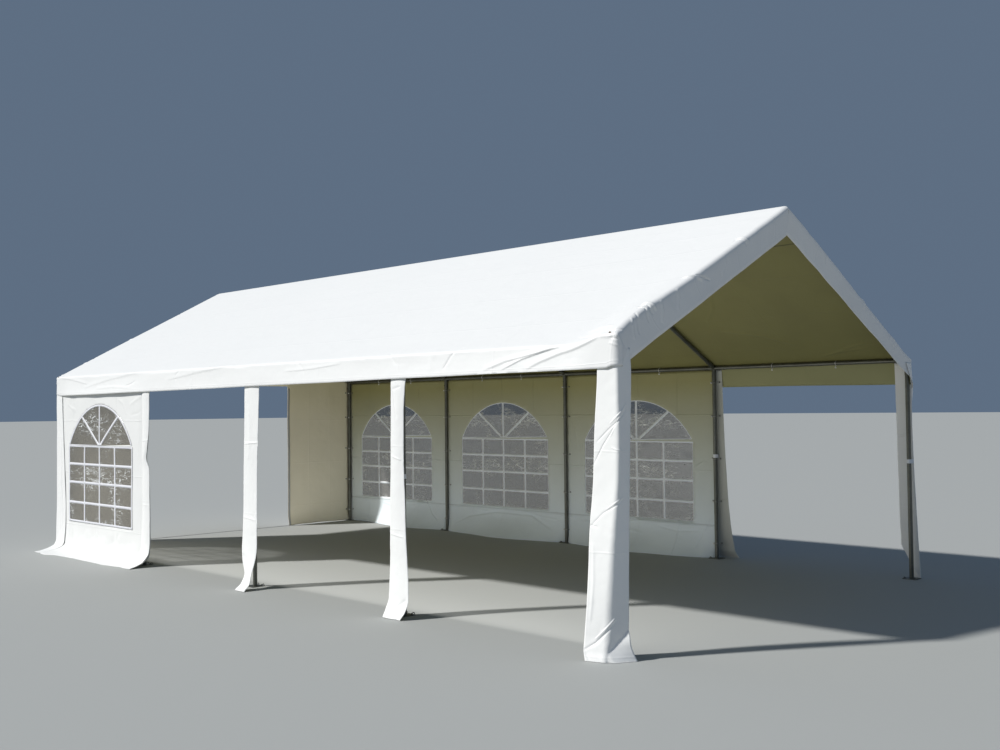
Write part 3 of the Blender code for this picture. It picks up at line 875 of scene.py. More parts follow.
# %% Cut and hang the roof cover
# stretches along the ridge, as (where each ends, step)
ROOF_STRETCHES = [(-FLAT_HALF - CREST_LEN, 0.03), (-FLAT_HALF, CREST_LEN / 5), (2.3, 0.085),
                  (FLAT_HALF, 0.035), (FLAT_HALF + CREST_LEN, CREST_LEN / 7), (ROOF_HALF, 0.02)]
roof_columns = [-ROOF_HALF]
for stretch_end, step in ROOF_STRETCHES:
    roof_columns += steps_between(roof_columns[-1], stretch_end, step)
roof, roof_area = hang("roof_cloth", grid_pattern(roof_columns, SECTION_B), roof_place, (0, 0, 1),
                       [roof_white, roof_shade], creases=ROOF_CREASES)
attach(roof, "root")
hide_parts("roof_cover")

# %% [markdown]
# ## Walls with windows
# A wall hangs from the eave to the ground, and its last part is a skirt that is drawn outwards at
# the front and tucked inwards at the back. The window is cut out of the pattern, closed by clear
# film, and covered by white bars that are welded to the film. Cutting window, film and bars from
# the same outline keeps them together, and all three hang by the same function.

# %% The window's outline and the run of a wall's skirt
WALL_TOP_Z = 1.90
WALL_OUT = 0.0253
SKIRT_TOP_Z = 0.31
GROUND_Z = 0.0025
WINDOW_HALF, SILL_Z, SPRING_Z, APEX_Z = 0.725, 0.35, 1.17, 1.605
BAR = 0.028
STEP = 0.03


def window_outline(margin, step):
    """The window's outline about its middle in (x, z), moved outwards by a margin."""
    rise = APEX_Z - SPRING_Z
    radius = (WINDOW_HALF ** 2 + rise ** 2) / (2 * rise)
    centre_z = APEX_Z - radius
    reach, side = radius + margin, WINDOW_HALF + margin
    first = math.acos(side / reach)
    count = round((math.pi - 2 * first) * reach / step)
    top = [(reach * math.cos(a), centre_z + reach * math.sin(a))
           for a in (mix(first, math.pi - first, i / count) for i in range(count + 1))]
    straight = spread_points([top[-1], (-side, SILL_Z - margin), (side, SILL_Z - margin), top[0]], step)
    whole = [p for p in straight if p[1] <= top[0][1] + 1e-6]
    return whole + top[1:-1]


def wall_run(spread, sweep):
    """Cloth length, height and reach down a wall whose skirt spreads by that much on the ground."""
    lengths, heights, reaches = [0.0], [WALL_TOP_Z], [0.0]
    steps = 400
    for i in range(1, steps + 1):
        z = mix(WALL_TOP_Z, GROUND_Z, i / steps)
        reach = spread * max(0.0, 1 - (z - GROUND_Z) / (SKIRT_TOP_Z - GROUND_Z)) ** sweep
        lengths.append(lengths[-1] + math.hypot(z - heights[-1], reach - reaches[-1]))
        heights.append(z)
        reaches.append(reach)
    return lengths, heights, reaches


print("a window is", 2 * WINDOW_HALF, "m wide and", round(APEX_Z - SILL_Z, 3), "m high")

# %% [markdown]
# Each wall is a little narrower or wider than its bay. Two rows of measurements give the line of the
# front wall's hem on the ground and the line of its free edge. The creases that are too clear for
# noise are listed after the function that hangs a wall.

# %% Where the walls hang
FRONT_HEM = [(-3.96, 0.30), (-3.85, 0.295), (-3.55, 0.335), (-3.35, 0.275), (-2.84, 0.265),
             (-2.27, 0.270), (-1.80, 0.215)]
# the front wall's free edge follows the sleeve that hangs over it, as (height, place beside the post)
FRONT_EDGE = [(0.0, 0.166), (0.31, 0.166), (0.96, 0.146), (1.06, 0.093), (1.16, 0.111), (1.35, 0.136),
              (1.90, 0.150)]
SPREAD = {"front": 0.29, "back": 0.20}
SWEEP = {"front": 4.5, "back": 2.2}      # how late the skirt turns outwards
WALLS = [
    # side, bay, how far its left and right end lie beside the posts, and its window beside the middle
    ("front", 0, 0.045, 0.172, 0.060),
    ("back", 0, 0.012, -0.003, -0.035),
    ("back", 1, 0.004, -0.003, -0.017),
    ("back", 2, 0.004, -0.012, -0.010),
]


print("window walls:", len(WALLS))


# %% How a wall hangs
def wall_shape(side, x0, x1):
    """The function that hangs a wall between x0 and x1. It takes x and the length down the cloth."""
    lengths, heights, reaches = wall_run(SPREAD[side], SWEEP[side])
    out = OUTWARD[side]
    seed = 31 + x0 * 3

    def place(x, down, lift=0.0):
        z = float(np.interp(down, lengths, heights))
        reach = float(np.interp(down, lengths, reaches))
        share = min(max((x - x0) / (x1 - x0), 0.0), 1.0)
        skirt = smooth((SKIRT_TOP_Z + 0.1 - z) / SKIRT_TOP_Z)
        near_post = min(share, 1 - share)
        at_x = x
        if side == "front":
            late = 1.8 + 1.5 * smooth(1 - share / 0.35)
            turned = max(0.0, 1 - (z - GROUND_Z) / (SKIRT_TOP_Z - GROUND_Z))
            reach = turned ** (SWEEP[side] * late) * through(FRONT_HEM, x)[0]
            reach += 0.012 * skirt * ripple(x, z, 0.16, seed) + 0.006 * skirt * ripple(x, z, 0.07, seed)
            edge = POST_X[1] + through(FRONT_EDGE, z)[0]
            at_x = x + (edge - x1) * smooth((share - 0.82) / 0.18)
            at_x += 0.06 * smooth(1 - share / 0.15) * smooth(1 - z / 0.05)
        else:
            reach *= -abs(math.sin(math.pi * share)) ** 0.6 * (1 + 0.25 * ripple(x, 0, 0.5, seed))
            if x0 < POST_X[1] - 0.5:
                reach *= smooth((share - 0.12) / 0.5)
            reach -= 0.012 * skirt * (1 + ripple(x, z, 0.3, seed)) * smooth(near_post / 0.06)
        slack = smooth(near_post / 0.08) * (1 - skirt)
        worn = 0.0016 if side == "front" else 0.0030
        relief = 0.006 * slack * ripple(x, z, 0.55, seed + 1) + worn * crumple(x, z, 0.14, seed + 2)
        folded = abs(math.sin(math.pi * x / BAG_FOLDS[0]))
        folded += abs(math.sin(math.pi * (down - BAG_FOLDS_FROM[1]) / BAG_FOLDS[1]))
        relief += 0.0018 * folded + creased(x, down, WALL_CREASES[side])
        relief *= smooth((WALL_TOP_Z - z) / 0.12)
        wide_sleeve = side == "front" and share < 0.5     # the corner sleeve of the closed end
        covered = 1 - smooth((near_post - (0.092 if wide_sleeve else 0.065)) / 0.03)
        relief = mix(relief, -0.5 * abs(relief), covered)     # a sleeve hangs close over the wall there
        y = SIDE_Y[side] + out * (WALL_OUT + reach + relief + lift)
        return Vector((at_x, y, z))

    return place, lengths[-1]


# %% Creases of the walls
def down_to(z):
    return WALL_TOP_Z - z


WALL_CREASES = {
    # places (x, length down the cloth) along each crease of the wall, its height and its width
    "front": [
        crease([(-2.28, down_to(1.60)), (-2.12, down_to(1.66)), (-1.95, down_to(1.70))], 0.0025, 0.016),
        crease([(-2.25, down_to(1.50)), (-2.08, down_to(1.52)), (-1.90, down_to(1.58))], -0.0022, 0.014),
        crease([(-2.55, down_to(1.69)), (-2.40, down_to(1.62)), (-2.33, down_to(1.50))], 0.003, 0.016),
        crease([(-3.75, down_to(1.64)), (-3.60, down_to(1.58)), (-3.50, down_to(1.55))], 0.003, 0.016),
        crease([(-3.60, down_to(0.33)), (-3.58, down_to(0.22)), (-3.60, down_to(0.12))], -0.003, 0.014),
        crease([(-3.02, down_to(0.27)), (-2.99, down_to(0.15)), (-2.98, down_to(0.02))], 0.004, 0.016),
        crease([(-2.52, down_to(0.28)), (-2.50, down_to(0.15)), (-2.53, down_to(0.02))], -0.003, 0.014),
    ],
    "back": [
        crease([(-1.85, 1.83), (-1.60, 1.70), (-1.15, 1.62), (-0.55, 1.63), (-0.18, 1.80)],
               0.008, 0.030, 1),
        crease([(-1.55, 1.60), (-1.30, 1.62), (-1.05, 1.60)], -0.004, 0.010),
        crease([(-0.75, 1.58), (-0.35, 1.64), (-0.05, 1.66)], -0.004, 0.010),
        crease([(1.93, 1.50), (1.83, 1.66), (1.76, 1.86)], 0.007, 0.018, -1),
        crease([(0.05, 1.64), (0.60, 1.65), (1.10, 1.72)], -0.004, 0.012),
        crease([(1.25, 1.62), (1.50, 1.66), (1.80, 1.64)], 0.004, 0.012),
        crease([(-3.35, 1.60), (-3.00, 1.66), (-2.60, 1.62)], -0.004, 0.012),
        crease([(-2.45, 1.50), (-2.30, 1.70), (-2.10, 1.86)], 0.006, 0.020, 1),
        crease([(-2.25, 1.02), (-2.10, 1.04), (-1.99, 1.00)], -0.004, 0.010),
        crease([(1.72, 1.00), (1.85, 0.93), (1.96, 0.95)], -0.005, 0.010),
        crease([(0.05, 0.50), (0.12, 0.60), (0.20, 0.86)], 0.004, 0.016),
    ],
}
print("creases of the walls:", sum(len(found) for found in WALL_CREASES.values()))

# %% [markdown]
# The window film is creased where it was folded, and light glints on each crease. The glints are
# painted into the film as white veins where it is less clear, and its grey tinge is painted shade
# seen through it. A vein is a thin line along which a noise texture passes through its middle
# value, so it is drawn by how far the noise is from that value. The bars are white strips, welded
# over the film.

# %% The film
FILM_FOLDS, FILM_FOLD_FROM = 0.56, 0.50     # between its bag folds, and where the first one lies


def veins(tree, place, turn_by, stretch, scale, width):
    """1 along thin wandering lines and 0 elsewhere. stretch makes them run along one direction."""
    turned = put(tree, "Mapping", {0: place, 2: (0.0, 0.0, turn_by), 3: (*stretch, 1.0)}).outputs[0]
    field = clouds(tree, turned, scale, Detail=3.0, Distortion=0.8)
    beside = worked_out(tree, "ABSOLUTE", worked_out(tree, "SUBTRACT", field, 0.5))
    return ranged(tree, beside, 0.0, width, 1.0, 0.0)


def film_material():
    """Clear film, with painted shade as its grey tinge and painted highlights along its creases."""
    made, tree, shader = new_finish("clear_window_film")
    place = put(tree, "UVMap", uv_map="cloth").outputs["UV"]
    axes = put(tree, "SeparateXYZ", {0: place}).outputs
    level = worked_out(tree, "SUBTRACT", axes[1], FILM_FOLD_FROM)
    near_fold = fold_lines(tree, level, FILM_FOLDS, 0.14)
    patches = clouds(tree, place, 3.3, Detail=2.0)
    along = veins(tree, place, 0.05, (1.0, 4.2), 4.6, 0.015)
    slanted = veins(tree, place, 0.75, (1.0, 3.6), 6.0, 0.016)
    brighter = worked_out(tree, "MULTIPLY", near_fold, 2.2)
    strong = worked_out(tree, "MULTIPLY", along, brighter, use_clamp=True)
    on_folds = worked_out(tree, "MULTIPLY", strong, ranged(tree, patches, 0.32, 0.44))
    elsewhere = worked_out(tree, "MULTIPLY", slanted, ranged(tree, patches, 0.50, 0.58))
    crease_glints = worked_out(tree, "MAXIMUM", on_folds, elsewhere)
    # painted: the dark grey is shade seen through the clear film, the near white is light glinting on its
    # creases
    tone = blend_colours(tree, crease_glints, as_colour((0.195, 0.187, 0.177)), as_colour((0.93, 0.95, 0.94)))
    tree.links.new(tone, shader.inputs["Base Color"])
    solid = ranged(tree, crease_glints, 0.0, 1.0, 0.50, 0.98)
    tree.links.new(solid, shader.inputs["Alpha"])
    shader.inputs["Roughness"].default_value = 0.12
    bent = bumped(tree, clouds(tree, place, 7.0, Detail=3.0), 0.5, 0.010)
    tree.links.new(bent, shader.inputs["Normal"])
    return made


# %% The bars' finish, and their outlines
BAR_COLUMNS, BAR_ROWS = (-0.353, 0.0, 0.353), (0.55, 0.77, 0.97, SPRING_Z)
BAR_OVERLAP = 0.004           # how far a bar goes past the window's edge
FAN_RUN, FAN_LENGTH = (0.42, 0.315), 0.53


def welded_white(name, colour):
    """The smooth finish of welded bars, hems, straps and small fittings."""
    made, tree, shader = new_finish(name)
    spot = put(tree, "TexCoord").outputs["Object"]
    grain = clouds(tree, spot, 30.0, Detail=3.0)
    tone = blend_colours(tree, grain, as_colour(colour), as_colour([c * 0.92 for c in colour]))
    tree.links.new(tone, shader.inputs["Base Color"])
    tree.links.new(ranged(tree, grain, 0.0, 1.0, 0.35, 0.55), shader.inputs["Roughness"])
    tree.links.new(bumped(tree, grain, 0.2, 0.001), shader.inputs["Normal"])
    return made


film_clear = film_material()
bar_white = welded_white("window_bar_white", (0.82, 0.82, 0.86))
# The bars' inner side is painted lighter and bluer than the outer one: painted light of the sky through the
# film.
bar_inside_painted_light = welded_white("window_bar_inside", (0.90, 0.94, 1.0))
FRAME_OUT, FRAME_IN = 0.014, 0.008
FILM_OVERLAP = 0.018
BAR_T = 0.0032


def bar_shapes(step):
    """Outlines of the bars about the window's middle: columns, rows and fan."""
    h = BAR / 2
    wide, low = WINDOW_HALF + BAR_OVERLAP, SILL_Z - BAR_OVERLAP
    shapes = []
    for x in BAR_COLUMNS:
        top = APEX_Z + BAR_OVERLAP if x == 0 else SPRING_Z
        shapes.append([(x - h, low), (x + h, low), (x + h, top), (x - h, top)])
    for z in BAR_ROWS:
        shapes.append([(-wide, z - h), (wide, z - h), (wide, z + h), (-wide, z + h)])
    for side in (-1, 1):
        run = Vector((side * FAN_RUN[0], FAN_RUN[1])).normalized()
        across = Vector((-run.y, run.x)) * h
        start, end = Vector((0, SPRING_Z)), Vector((0, SPRING_Z)) + run * FAN_LENGTH
        shapes.append([tuple(p) for p in (start - across, end - across, end + across, start + across)])
    return [spread_points(s, step) for s in shapes]


print("bars of a window:", len(bar_shapes(STEP)))

# %% Cut and hang the walls
WELD_LIFT = 0.0016            # how far outside the wall its film and bars lie
FILM_T = 0.0006
FRAME_STEP, BAR_STEP = 0.02, 0.04
for side, bay, left, right, window_beside in WALLS:
    label = f"{side}_{bay + 1}"
    x0, x1 = POST_X[bay] + left, POST_X[bay + 1] + right
    centre_x = (POST_X[bay] + POST_X[bay + 1]) / 2 + window_beside
    place, length = wall_shape(side, x0, x1)
    outward = (0, OUTWARD[side], 0)

    def down_from(outline):
        return [(centre_x + x, down_to(z)) for x, z in outline]

    whole = [(x0, 0.0), (x1, 0.0), (x1, length), (x0, length)]
    hole = down_from(window_outline(0.0, STEP))
    pattern = cut_pattern([spread_points(whole, STEP), hole],
                          lambda x, y: inside(whole, x, y) and not inside(hole, x, y), STEP)
    wall, area = hang(f"wall_cloth_{label}", pattern, place, outward, [wall_white, wall_shade],
                      creases=WALL_CREASES[side])
    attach(wall, "root")
    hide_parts(f"window_wall_{label}")

    edge = down_from(window_outline(FILM_OVERLAP, STEP))
    film, film_area = hang(f"window_pane_{label}",
                           cut_pattern([edge], lambda x, y: inside(edge, x, y), STEP * 0.8),
                           lambda a, b: place(a, b, WELD_LIFT + 0.0009 * ripple(a, b, 0.09, 61)),
                           outward, [film_clear], FILM_T)
    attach(film, "root")
    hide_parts(f"window_film_{label}")

    frame_out = down_from(window_outline(FRAME_OUT, FRAME_STEP))
    frame_in = down_from(window_outline(-FRAME_IN, FRAME_STEP))
    bars = [down_from(s) for s in bar_shapes(BAR_STEP)]

    def bars_keep(x, y):
        if not inside(frame_out, x, y):
            return False
        return not inside(frame_in, x, y) or any(inside(bar, x, y) for bar in bars)

    pattern = cut_pattern([frame_out, frame_in] + bars, bars_keep, BAR_STEP)
    bars_piece, _ = hang(f"window_bars_{label}", pattern, lambda a, b: place(a, b, WELD_LIFT),
                         outward, [bar_white, bar_inside_painted_light], BAR_T)
    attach(bars_piece, "root")

# %% [markdown]
# ## The closed end
# The wall of the closed end fills the gable. Its doorway is open, and the door is rolled up and
# tied under the ridge. A roll is easiest to draw as what it is, one sheet wound in a spiral.

# %% The end wall
DOOR_HALF, DOOR_TOP_Z = 1.05, 1.86
END_WALL_HALF = 2.062
END_WALL_X = POST_X[0] - WALL_OUT
RIDGE_UNDER_Z = RIDGE_Z - 0.012


def end_wall_outline(step):
    """The wall's outline as (y, length down from the ridge)."""
    corner = (RIDGE_Z - EAVE_Z) * END_WALL_HALF / BACK_Y
    low = RIDGE_UNDER_Z - GROUND_Z
    door = RIDGE_UNDER_Z - DOOR_TOP_Z
    outline = [(0, 0), (END_WALL_HALF, corner), (END_WALL_HALF, low), (DOOR_HALF, low), (DOOR_HALF, door),
               (-DOOR_HALF, door), (-DOOR_HALF, low), (-END_WALL_HALF, low), (-END_WALL_HALF, corner)]
    return outline, spread_points(outline, step)


def end_wall_place(y, down, lift=0.0):
    z = RIDGE_UNDER_Z - down
    low = smooth(1 - z / 0.16)
    below_roof = RIDGE_UNDER_Z - (RIDGE_Z - EAVE_Z) * abs(y) / BACK_Y - z
    slack = smooth((END_WALL_HALF - abs(y) - 0.12) / 0.20) * smooth((below_roof - 0.22) / 0.15)
    relief = slack * (0.010 * ripple(y, z, 0.6, 71) + 0.008 * ripple(y, z * 0.2, 0.22, 72))
    folded = abs(math.sin(math.pi * y / END_BAG_FOLDS[0]))
    relief += slack * (0.0022 * crumple(y, z, 0.15, 73) + 0.003 * folded)
    relief *= smooth(z / 0.1 + 0.3)
    hem = 0.035 * low + 0.012 * low * ripple(y, 0, 0.2, 74)
    rise = 0.006 * low * (1 + ripple(y, 1, 0.15, 75))
    return Vector((END_WALL_X - relief + hem * 0.6 + lift, y, max(z, GROUND_Z) + rise))


end_plain, end_outline = end_wall_outline(STEP)
end_wall, end_area = hang("end_wall_cloth",
                          cut_pattern([end_outline], lambda x, y: inside(end_plain, x, y), STEP),
                          end_wall_place, (-1, 0, 0), [wall_white, end_wall_shade])
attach(end_wall, "root")
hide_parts("gable_wall")

# %% [markdown]
# The zips ride on the wall. They are narrow grids that hang by the wall's own function, lifted by
# 2 mm, so they follow every bend of it.

# %% Zips beside the doorway
ZIP_WIDTH = 0.028
strap_grey = welded_white("strap_grey", (0.50, 0.50, 0.49))
for side in (-1, 1):
    across = [side * (DOOR_HALF + 0.006 + ZIP_WIDTH * i / 2) for i in range(3)]
    down_zip = steps_between(RIDGE_UNDER_Z - DOOR_TOP_Z, RIDGE_UNDER_Z - GROUND_Z, 0.03)
    zip_piece, _ = hang(f"door_zip_{'front' if side < 0 else 'back'}", grid_pattern(across, down_zip),
                        lambda a, b: end_wall_place(a, b, 0.002), (1, 0, 0), [strap_grey], 0.004)
    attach(zip_piece, "root")

# %% [markdown]
# The roll's size is read from the frame. Its spiral grows by the same amount in each round, which
# gives the length of cloth at each angle, and the roll is pinched where it is tied.

# %% The rolled door
ROLL_LOW, ROLL_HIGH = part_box("gable_door_roll")
ROLL_R = (ROLL_HIGH.z - ROLL_LOW.z) / 2
ROLL_X, ROLL_Z = (ROLL_LOW.x + ROLL_HIGH.x) / 2, (ROLL_LOW.z + ROLL_HIGH.z) / 2
ROLL_TIES = (-0.62, 0.0, 0.62)
ROLL_CORE, ROLL_PITCH = 0.012, 0.00465     # the radius it starts with, and what a round adds
ROLL_STEP = 15                # degrees


def roll_stations():
    """Angle, radius and cloth length along the spiral, from the core outwards."""
    stations, angle, length = [], 0.0, 0.0
    radius = ROLL_CORE
    while radius < ROLL_R - 0.001:
        stations.append((angle, radius, length))
        angle += math.radians(ROLL_STEP)
        length += radius * math.radians(ROLL_STEP)
        radius += ROLL_PITCH * ROLL_STEP / 360
    return stations


ROLL = roll_stations()
ROLL_LENGTHS = [s[2] for s in ROLL]


def roll_place(y, wound):
    angle = float(np.interp(wound, ROLL_LENGTHS, [s[0] for s in ROLL]))
    radius = float(np.interp(wound, ROLL_LENGTHS, [s[1] for s in ROLL]))
    tied = max(math.exp(-((y - t) / 0.05) ** 2) for t in ROLL_TIES)
    radius *= 1 - 0.20 * tied + 0.05 * ripple(y, angle * 0.2, 0.25, 81)
    sag = 0.006 * (1 - tied)
    return Vector((ROLL_X + radius * math.cos(angle), y, ROLL_Z - sag + radius * 0.94 * math.sin(angle)))


roll_columns = [mix(ROLL_LOW.y, ROLL_HIGH.y, i / 84) for i in range(85)]
door_roll, roll_area = hang("rolled_door_cloth", grid_pattern(roll_columns, ROLL_LENGTHS), roll_place,
                            (0, 0, 1), [wall_white], 0.0012)
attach(door_roll, "root")
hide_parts("gable_door_roll")

# %% [markdown]
# ## Sleeves over the posts
# A sleeve is a narrow strip that hides a post from outside. Each one hangs differently: it leans,
# it is pinched near the ground and its hem is dragged over the floor. A few rows of measurements,
# joined by a smooth curve, describe that better than a formula.

# %% Flat sleeves
SLEEVE_OUT = 0.0276
COVERED = [("front", 1), ("back", 1), ("back", 2), ("back", 3)]     # sleeves that lie over a wall
SLEEVES = {
    # height, left edge and right edge beside the post, reach outwards
    ("front", 1): [(0.0, 0.02, 0.205, 0.230), (0.02, 0.02, 0.200, 0.155), (0.05, 0.015, 0.196, 0.090),
                   (0.12, 0.012, 0.192, 0.030), (0.20, 0.015, 0.188, 0.010), (0.31, 0.015, 0.180, 0.004),
                   (0.66, 0.015, 0.165, 0.0), (0.96, 0.015, 0.160, 0.0),
                   (1.06, 0.015, 0.105, 0.003), (1.16, 0.015, 0.122, 0.003), (1.35, 0.015, 0.150, 0.0),
                   (1.90, 0.015, 0.165, 0.0)],
    ("front", 2): [(0.0, 0.055, 0.205, 0.205), (0.05, 0.058, 0.190, 0.150), (0.13, 0.045, 0.150, 0.105),
                   (0.22, -0.030, 0.150, 0.075), (0.32, -0.075, 0.150, 0.052), (0.45, -0.090, 0.135, 0.036),
                   (0.70, -0.105, 0.114, 0.020), (1.02, -0.118, 0.095, 0.006), (1.40, -0.115, 0.105, 0.0),
                   (1.90, -0.105, 0.120, 0.0)],
    ("front", 3): [(0.0, -0.055, 0.150, 0.135), (0.05, -0.060, 0.165, 0.105), (0.13, -0.060, 0.165, 0.070),
                   (0.40, -0.085, 0.110, 0.030), (0.70, -0.105, 0.070, 0.012), (1.10, -0.110, 0.045, 0.0),
                   (1.50, -0.105, 0.045, 0.0), (1.66, -0.102, 0.060, 0.0), (1.90, -0.100, 0.085, 0.0)],
    ("back", 1): [(0.0, -0.080, 0.125, 0.215), (0.08, -0.09, 0.115, 0.13), (0.30, -0.10, 0.100, 0.06),
                  (0.70, -0.10, 0.100, 0.02), (1.10, -0.10, 0.100, 0.0), (1.90, -0.10, 0.10, 0.0)],
    ("back", 2): [(0.0, -0.075, 0.130, 0.205), (0.08, -0.09, 0.115, 0.12), (0.30, -0.10, 0.105, 0.055),
                  (0.70, -0.10, 0.100, 0.02), (1.10, -0.10, 0.100, 0.0), (1.90, -0.10, 0.10, 0.0)],
    ("back", 3): [(0.0, -0.060, 0.175, 0.10), (0.08, -0.070, 0.150, 0.065), (0.30, -0.080, 0.130, 0.035),
                  (0.60, -0.080, 0.115, 0.012), (1.00, -0.080, 0.100, 0.0), (1.60, -0.080, 0.080, 0.0),
                  (1.90, -0.080, 0.075, 0.0)],
}
print("flat sleeves:", len(SLEEVES))

# %% Creases of the flat sleeves
SLEEVE_CREASES = {
    # places (across, down) along each crease, its height, its width and its steep side
    ("front", 2): [crease([(0.0, 0.66), (0.22, 0.65)], 0.004, 0.012, 1),
                   crease([(0.0, 1.30), (0.22, 1.32)], 0.003, 0.012, 1),
                   crease([(0.02, 1.62), (0.14, 1.74)], -0.006, 0.025),
                   crease([(0.06, 0.30), (0.10, 0.52), (0.09, 0.80)], 0.003, 0.022)],
    ("front", 3): [crease([(0.02, 0.22), (0.16, 0.20)], -0.003, 0.010),
                   crease([(0.0, 0.72), (0.20, 0.75)], 0.003, 0.010, 1),
                   crease([(0.0, 1.30), (0.20, 1.32)], 0.003, 0.012, 1),
                   crease([(0.04, 0.22), (0.07, 0.34), (0.12, 0.44)], -0.004, 0.012),
                   crease([(0.09, 1.86), (0.21, 1.76)], -0.006, 0.014)],
}
FLAT_CREASES = [crease([(0.0, 0.66), (0.30, 0.65)], 0.003, 0.010, 1),
                crease([(0.0, 1.30), (0.30, 1.31)], 0.003, 0.010, 1)]
print("creases of the flat sleeves:", sum(len(found) for found in SLEEVE_CREASES.values()))


# %% Hang the flat sleeves
def run_down(rows, top_z):
    """Cloth length and height down a sleeve, dense near the ground where it bends."""
    heights = [mix(top_z, 0.0, 1 - (1 - i / 160) ** 1.35) for i in range(161)]
    lengths = [0.0]
    for above, below in zip(heights, heights[1:]):
        over, under = through(rows, above), through(rows, below)
        moved = [b - a for a, b in zip(over, under)]
        if len(moved) == 3:
            run = math.hypot((moved[0] + moved[1]) / 2, moved[2])
        else:
            run = math.hypot(sum(moved[0::2]), sum(moved[1::2])) / 3
        lengths.append(lengths[-1] + math.hypot(run, above - below))
    return lengths, heights


for (side, post), rows in SLEEVES.items():
    label = f"{side}_{post + 1}"
    lengths, heights = run_down(rows, WALL_TOP_Z)
    width = max(right - left for _, left, right, _ in rows)
    out, seed = OUTWARD[side], 91 + post + (10 if side == "back" else 0)
    creases = SLEEVE_CREASES.get((side, post), FLAT_CREASES)

    def sleeve_place(a, b):
        height = float(np.interp(b, lengths, heights))
        left, right, reach = through(rows, height)
        share = a / width
        loose = smooth((WALL_TOP_Z - height) / 0.2)
        narrow = (right - left) / width
        bow = 0.010 * math.sin(math.pi * share) * loose * (1.6 - narrow)
        relief = 0.005 * (0.5 + ripple(a, b, 0.35, seed)) + 0.002 * crumple(a, b, 0.09, seed + 1)
        relief = loose * (relief + creased(a, b, creases)) + bow
        ragged = 0.008 * smooth(1 - height / 0.15) * ripple(a, 0, 0.05, seed + 2)
        x = POST_X[post] + mix(left, right, share)
        proud = 0.003 * loose if (side, post) in COVERED else -0.005 * (1 - loose)
        y = SIDE_Y[side] + out * (SLEEVE_OUT + reach + relief + ragged + proud)
        return Vector((x, y, max(height + 0.003 * smooth(1 - height / 0.1), GROUND_Z)))

    across = [width * i / 20 for i in range(21)]
    sleeve, area = hang(f"sleeve_cloth_{label}", grid_pattern(across, lengths), sleeve_place, (0, out, 0),
                        [sleeve_white, sleeve_shade], creases=creases)
    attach(sleeve, "root")
    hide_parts(f"post_sleeve_{label}")

# %% [markdown]
# A corner sleeve folds round its post. Its rows give three places at each height, as seen from
# above: the free edge on the long side, the fold at the corner, and the free edge on the gable side.
# Each is (outwards along the tent, outwards across the tent) from the middle of the post.

# %% Corner sleeves
CORNER_W = 0.295
FOLD_SOFT = 0.028             # how far beside the fold the cloth starts to turn
CORNERS = {
    ("front", 1): [
        (0.0, -0.062, 0.229, 0.070, 0.188, 0.058, 0.034),
        (0.06, -0.083, 0.215, 0.060, 0.172, 0.070, 0.030),
        (0.15, -0.091, 0.194, 0.049, 0.150, 0.106, 0.022),
        (0.33, -0.097, 0.165, 0.043, 0.125, 0.098, 0.004),
        (0.58, -0.118, 0.115, 0.042, 0.090, 0.082, -0.024),
        (0.83, -0.1325, 0.075, 0.050, 0.060, 0.070, -0.050),
        (1.08, -0.1305, 0.045, 0.059, 0.038, 0.062, -0.0685),
        (1.33, -0.128, 0.033, 0.061, 0.028, 0.055, -0.0875),
        (1.775, -0.102, 0.0276, 0.053, 0.018, 0.048, -0.114),
        (1.90, -0.102, 0.0240, 0.047, 0.014, 0.043, -0.114)],
    ("back", 1): [
        (0.0, -0.124, 0.080, 0.062, 0.080, -0.050, 0.125),
        (0.35, -0.124, 0.068, 0.050, 0.070, -0.060, 0.120),
        (0.85, -0.125, 0.055, 0.035, 0.060, -0.060, 0.120),
        (1.30, -0.125, 0.042, 0.030, 0.045, -0.050, 0.115),
        (1.50, -0.125, 0.035, 0.030, 0.038, -0.020, 0.105),
        (1.62, -0.125, 0.031, 0.032, 0.034, 0.018, 0.070),
        (1.70, -0.125, 0.029, 0.034, 0.031, 0.040, 0.020),
        (1.78, -0.125, 0.0276, 0.036, 0.0276, 0.042, -0.040),
        (1.90, -0.125, 0.0240, 0.036, 0.020, 0.040, -0.100)],
    ("front", -1): [
        (0.0, -0.240, 0.333, -0.145, 0.338, 0.000, 0.180),
        (0.012, -0.225, 0.222, -0.085, 0.228, 0.015, 0.105),
        (0.025, -0.212, 0.132, -0.030, 0.138, 0.025, 0.030),
        (0.050, -0.208, 0.058, 0.010, 0.062, 0.028, -0.010),
        (0.10, -0.212, 0.034, 0.022, 0.034, 0.028, -0.028),
        (0.27, -0.232, 0.029, 0.022, 0.030, 0.026, -0.030),
        (0.56, -0.230, 0.028, 0.020, 0.025, 0.024, -0.030),
        (1.23, -0.172, 0.0276, 0.020, 0.0276, 0.022, -0.075),
        (1.90, -0.132, 0.0276, 0.0276, 0.0276, 0.0276, -0.1124)],
    ("back", -1): [
        (0.0, -0.090, 0.100, 0.095, 0.095, 0.100, -0.060),
        (0.08, -0.100, 0.075, 0.070, 0.070, 0.075, -0.070),
        (0.30, -0.115, 0.045, 0.040, 0.040, 0.045, -0.090),
        (0.80, -0.130, 0.030, 0.030, 0.030, 0.030, -0.105),
        (1.90, -0.132, 0.0276, 0.0276, 0.0276, 0.0276, -0.1124)],
}
print("corner sleeves:", len(CORNERS))

# %% Creases of the corner sleeves
HEM_LIFT = {("back", 1): 0.28}      # how high the hem's corner on the long side hangs
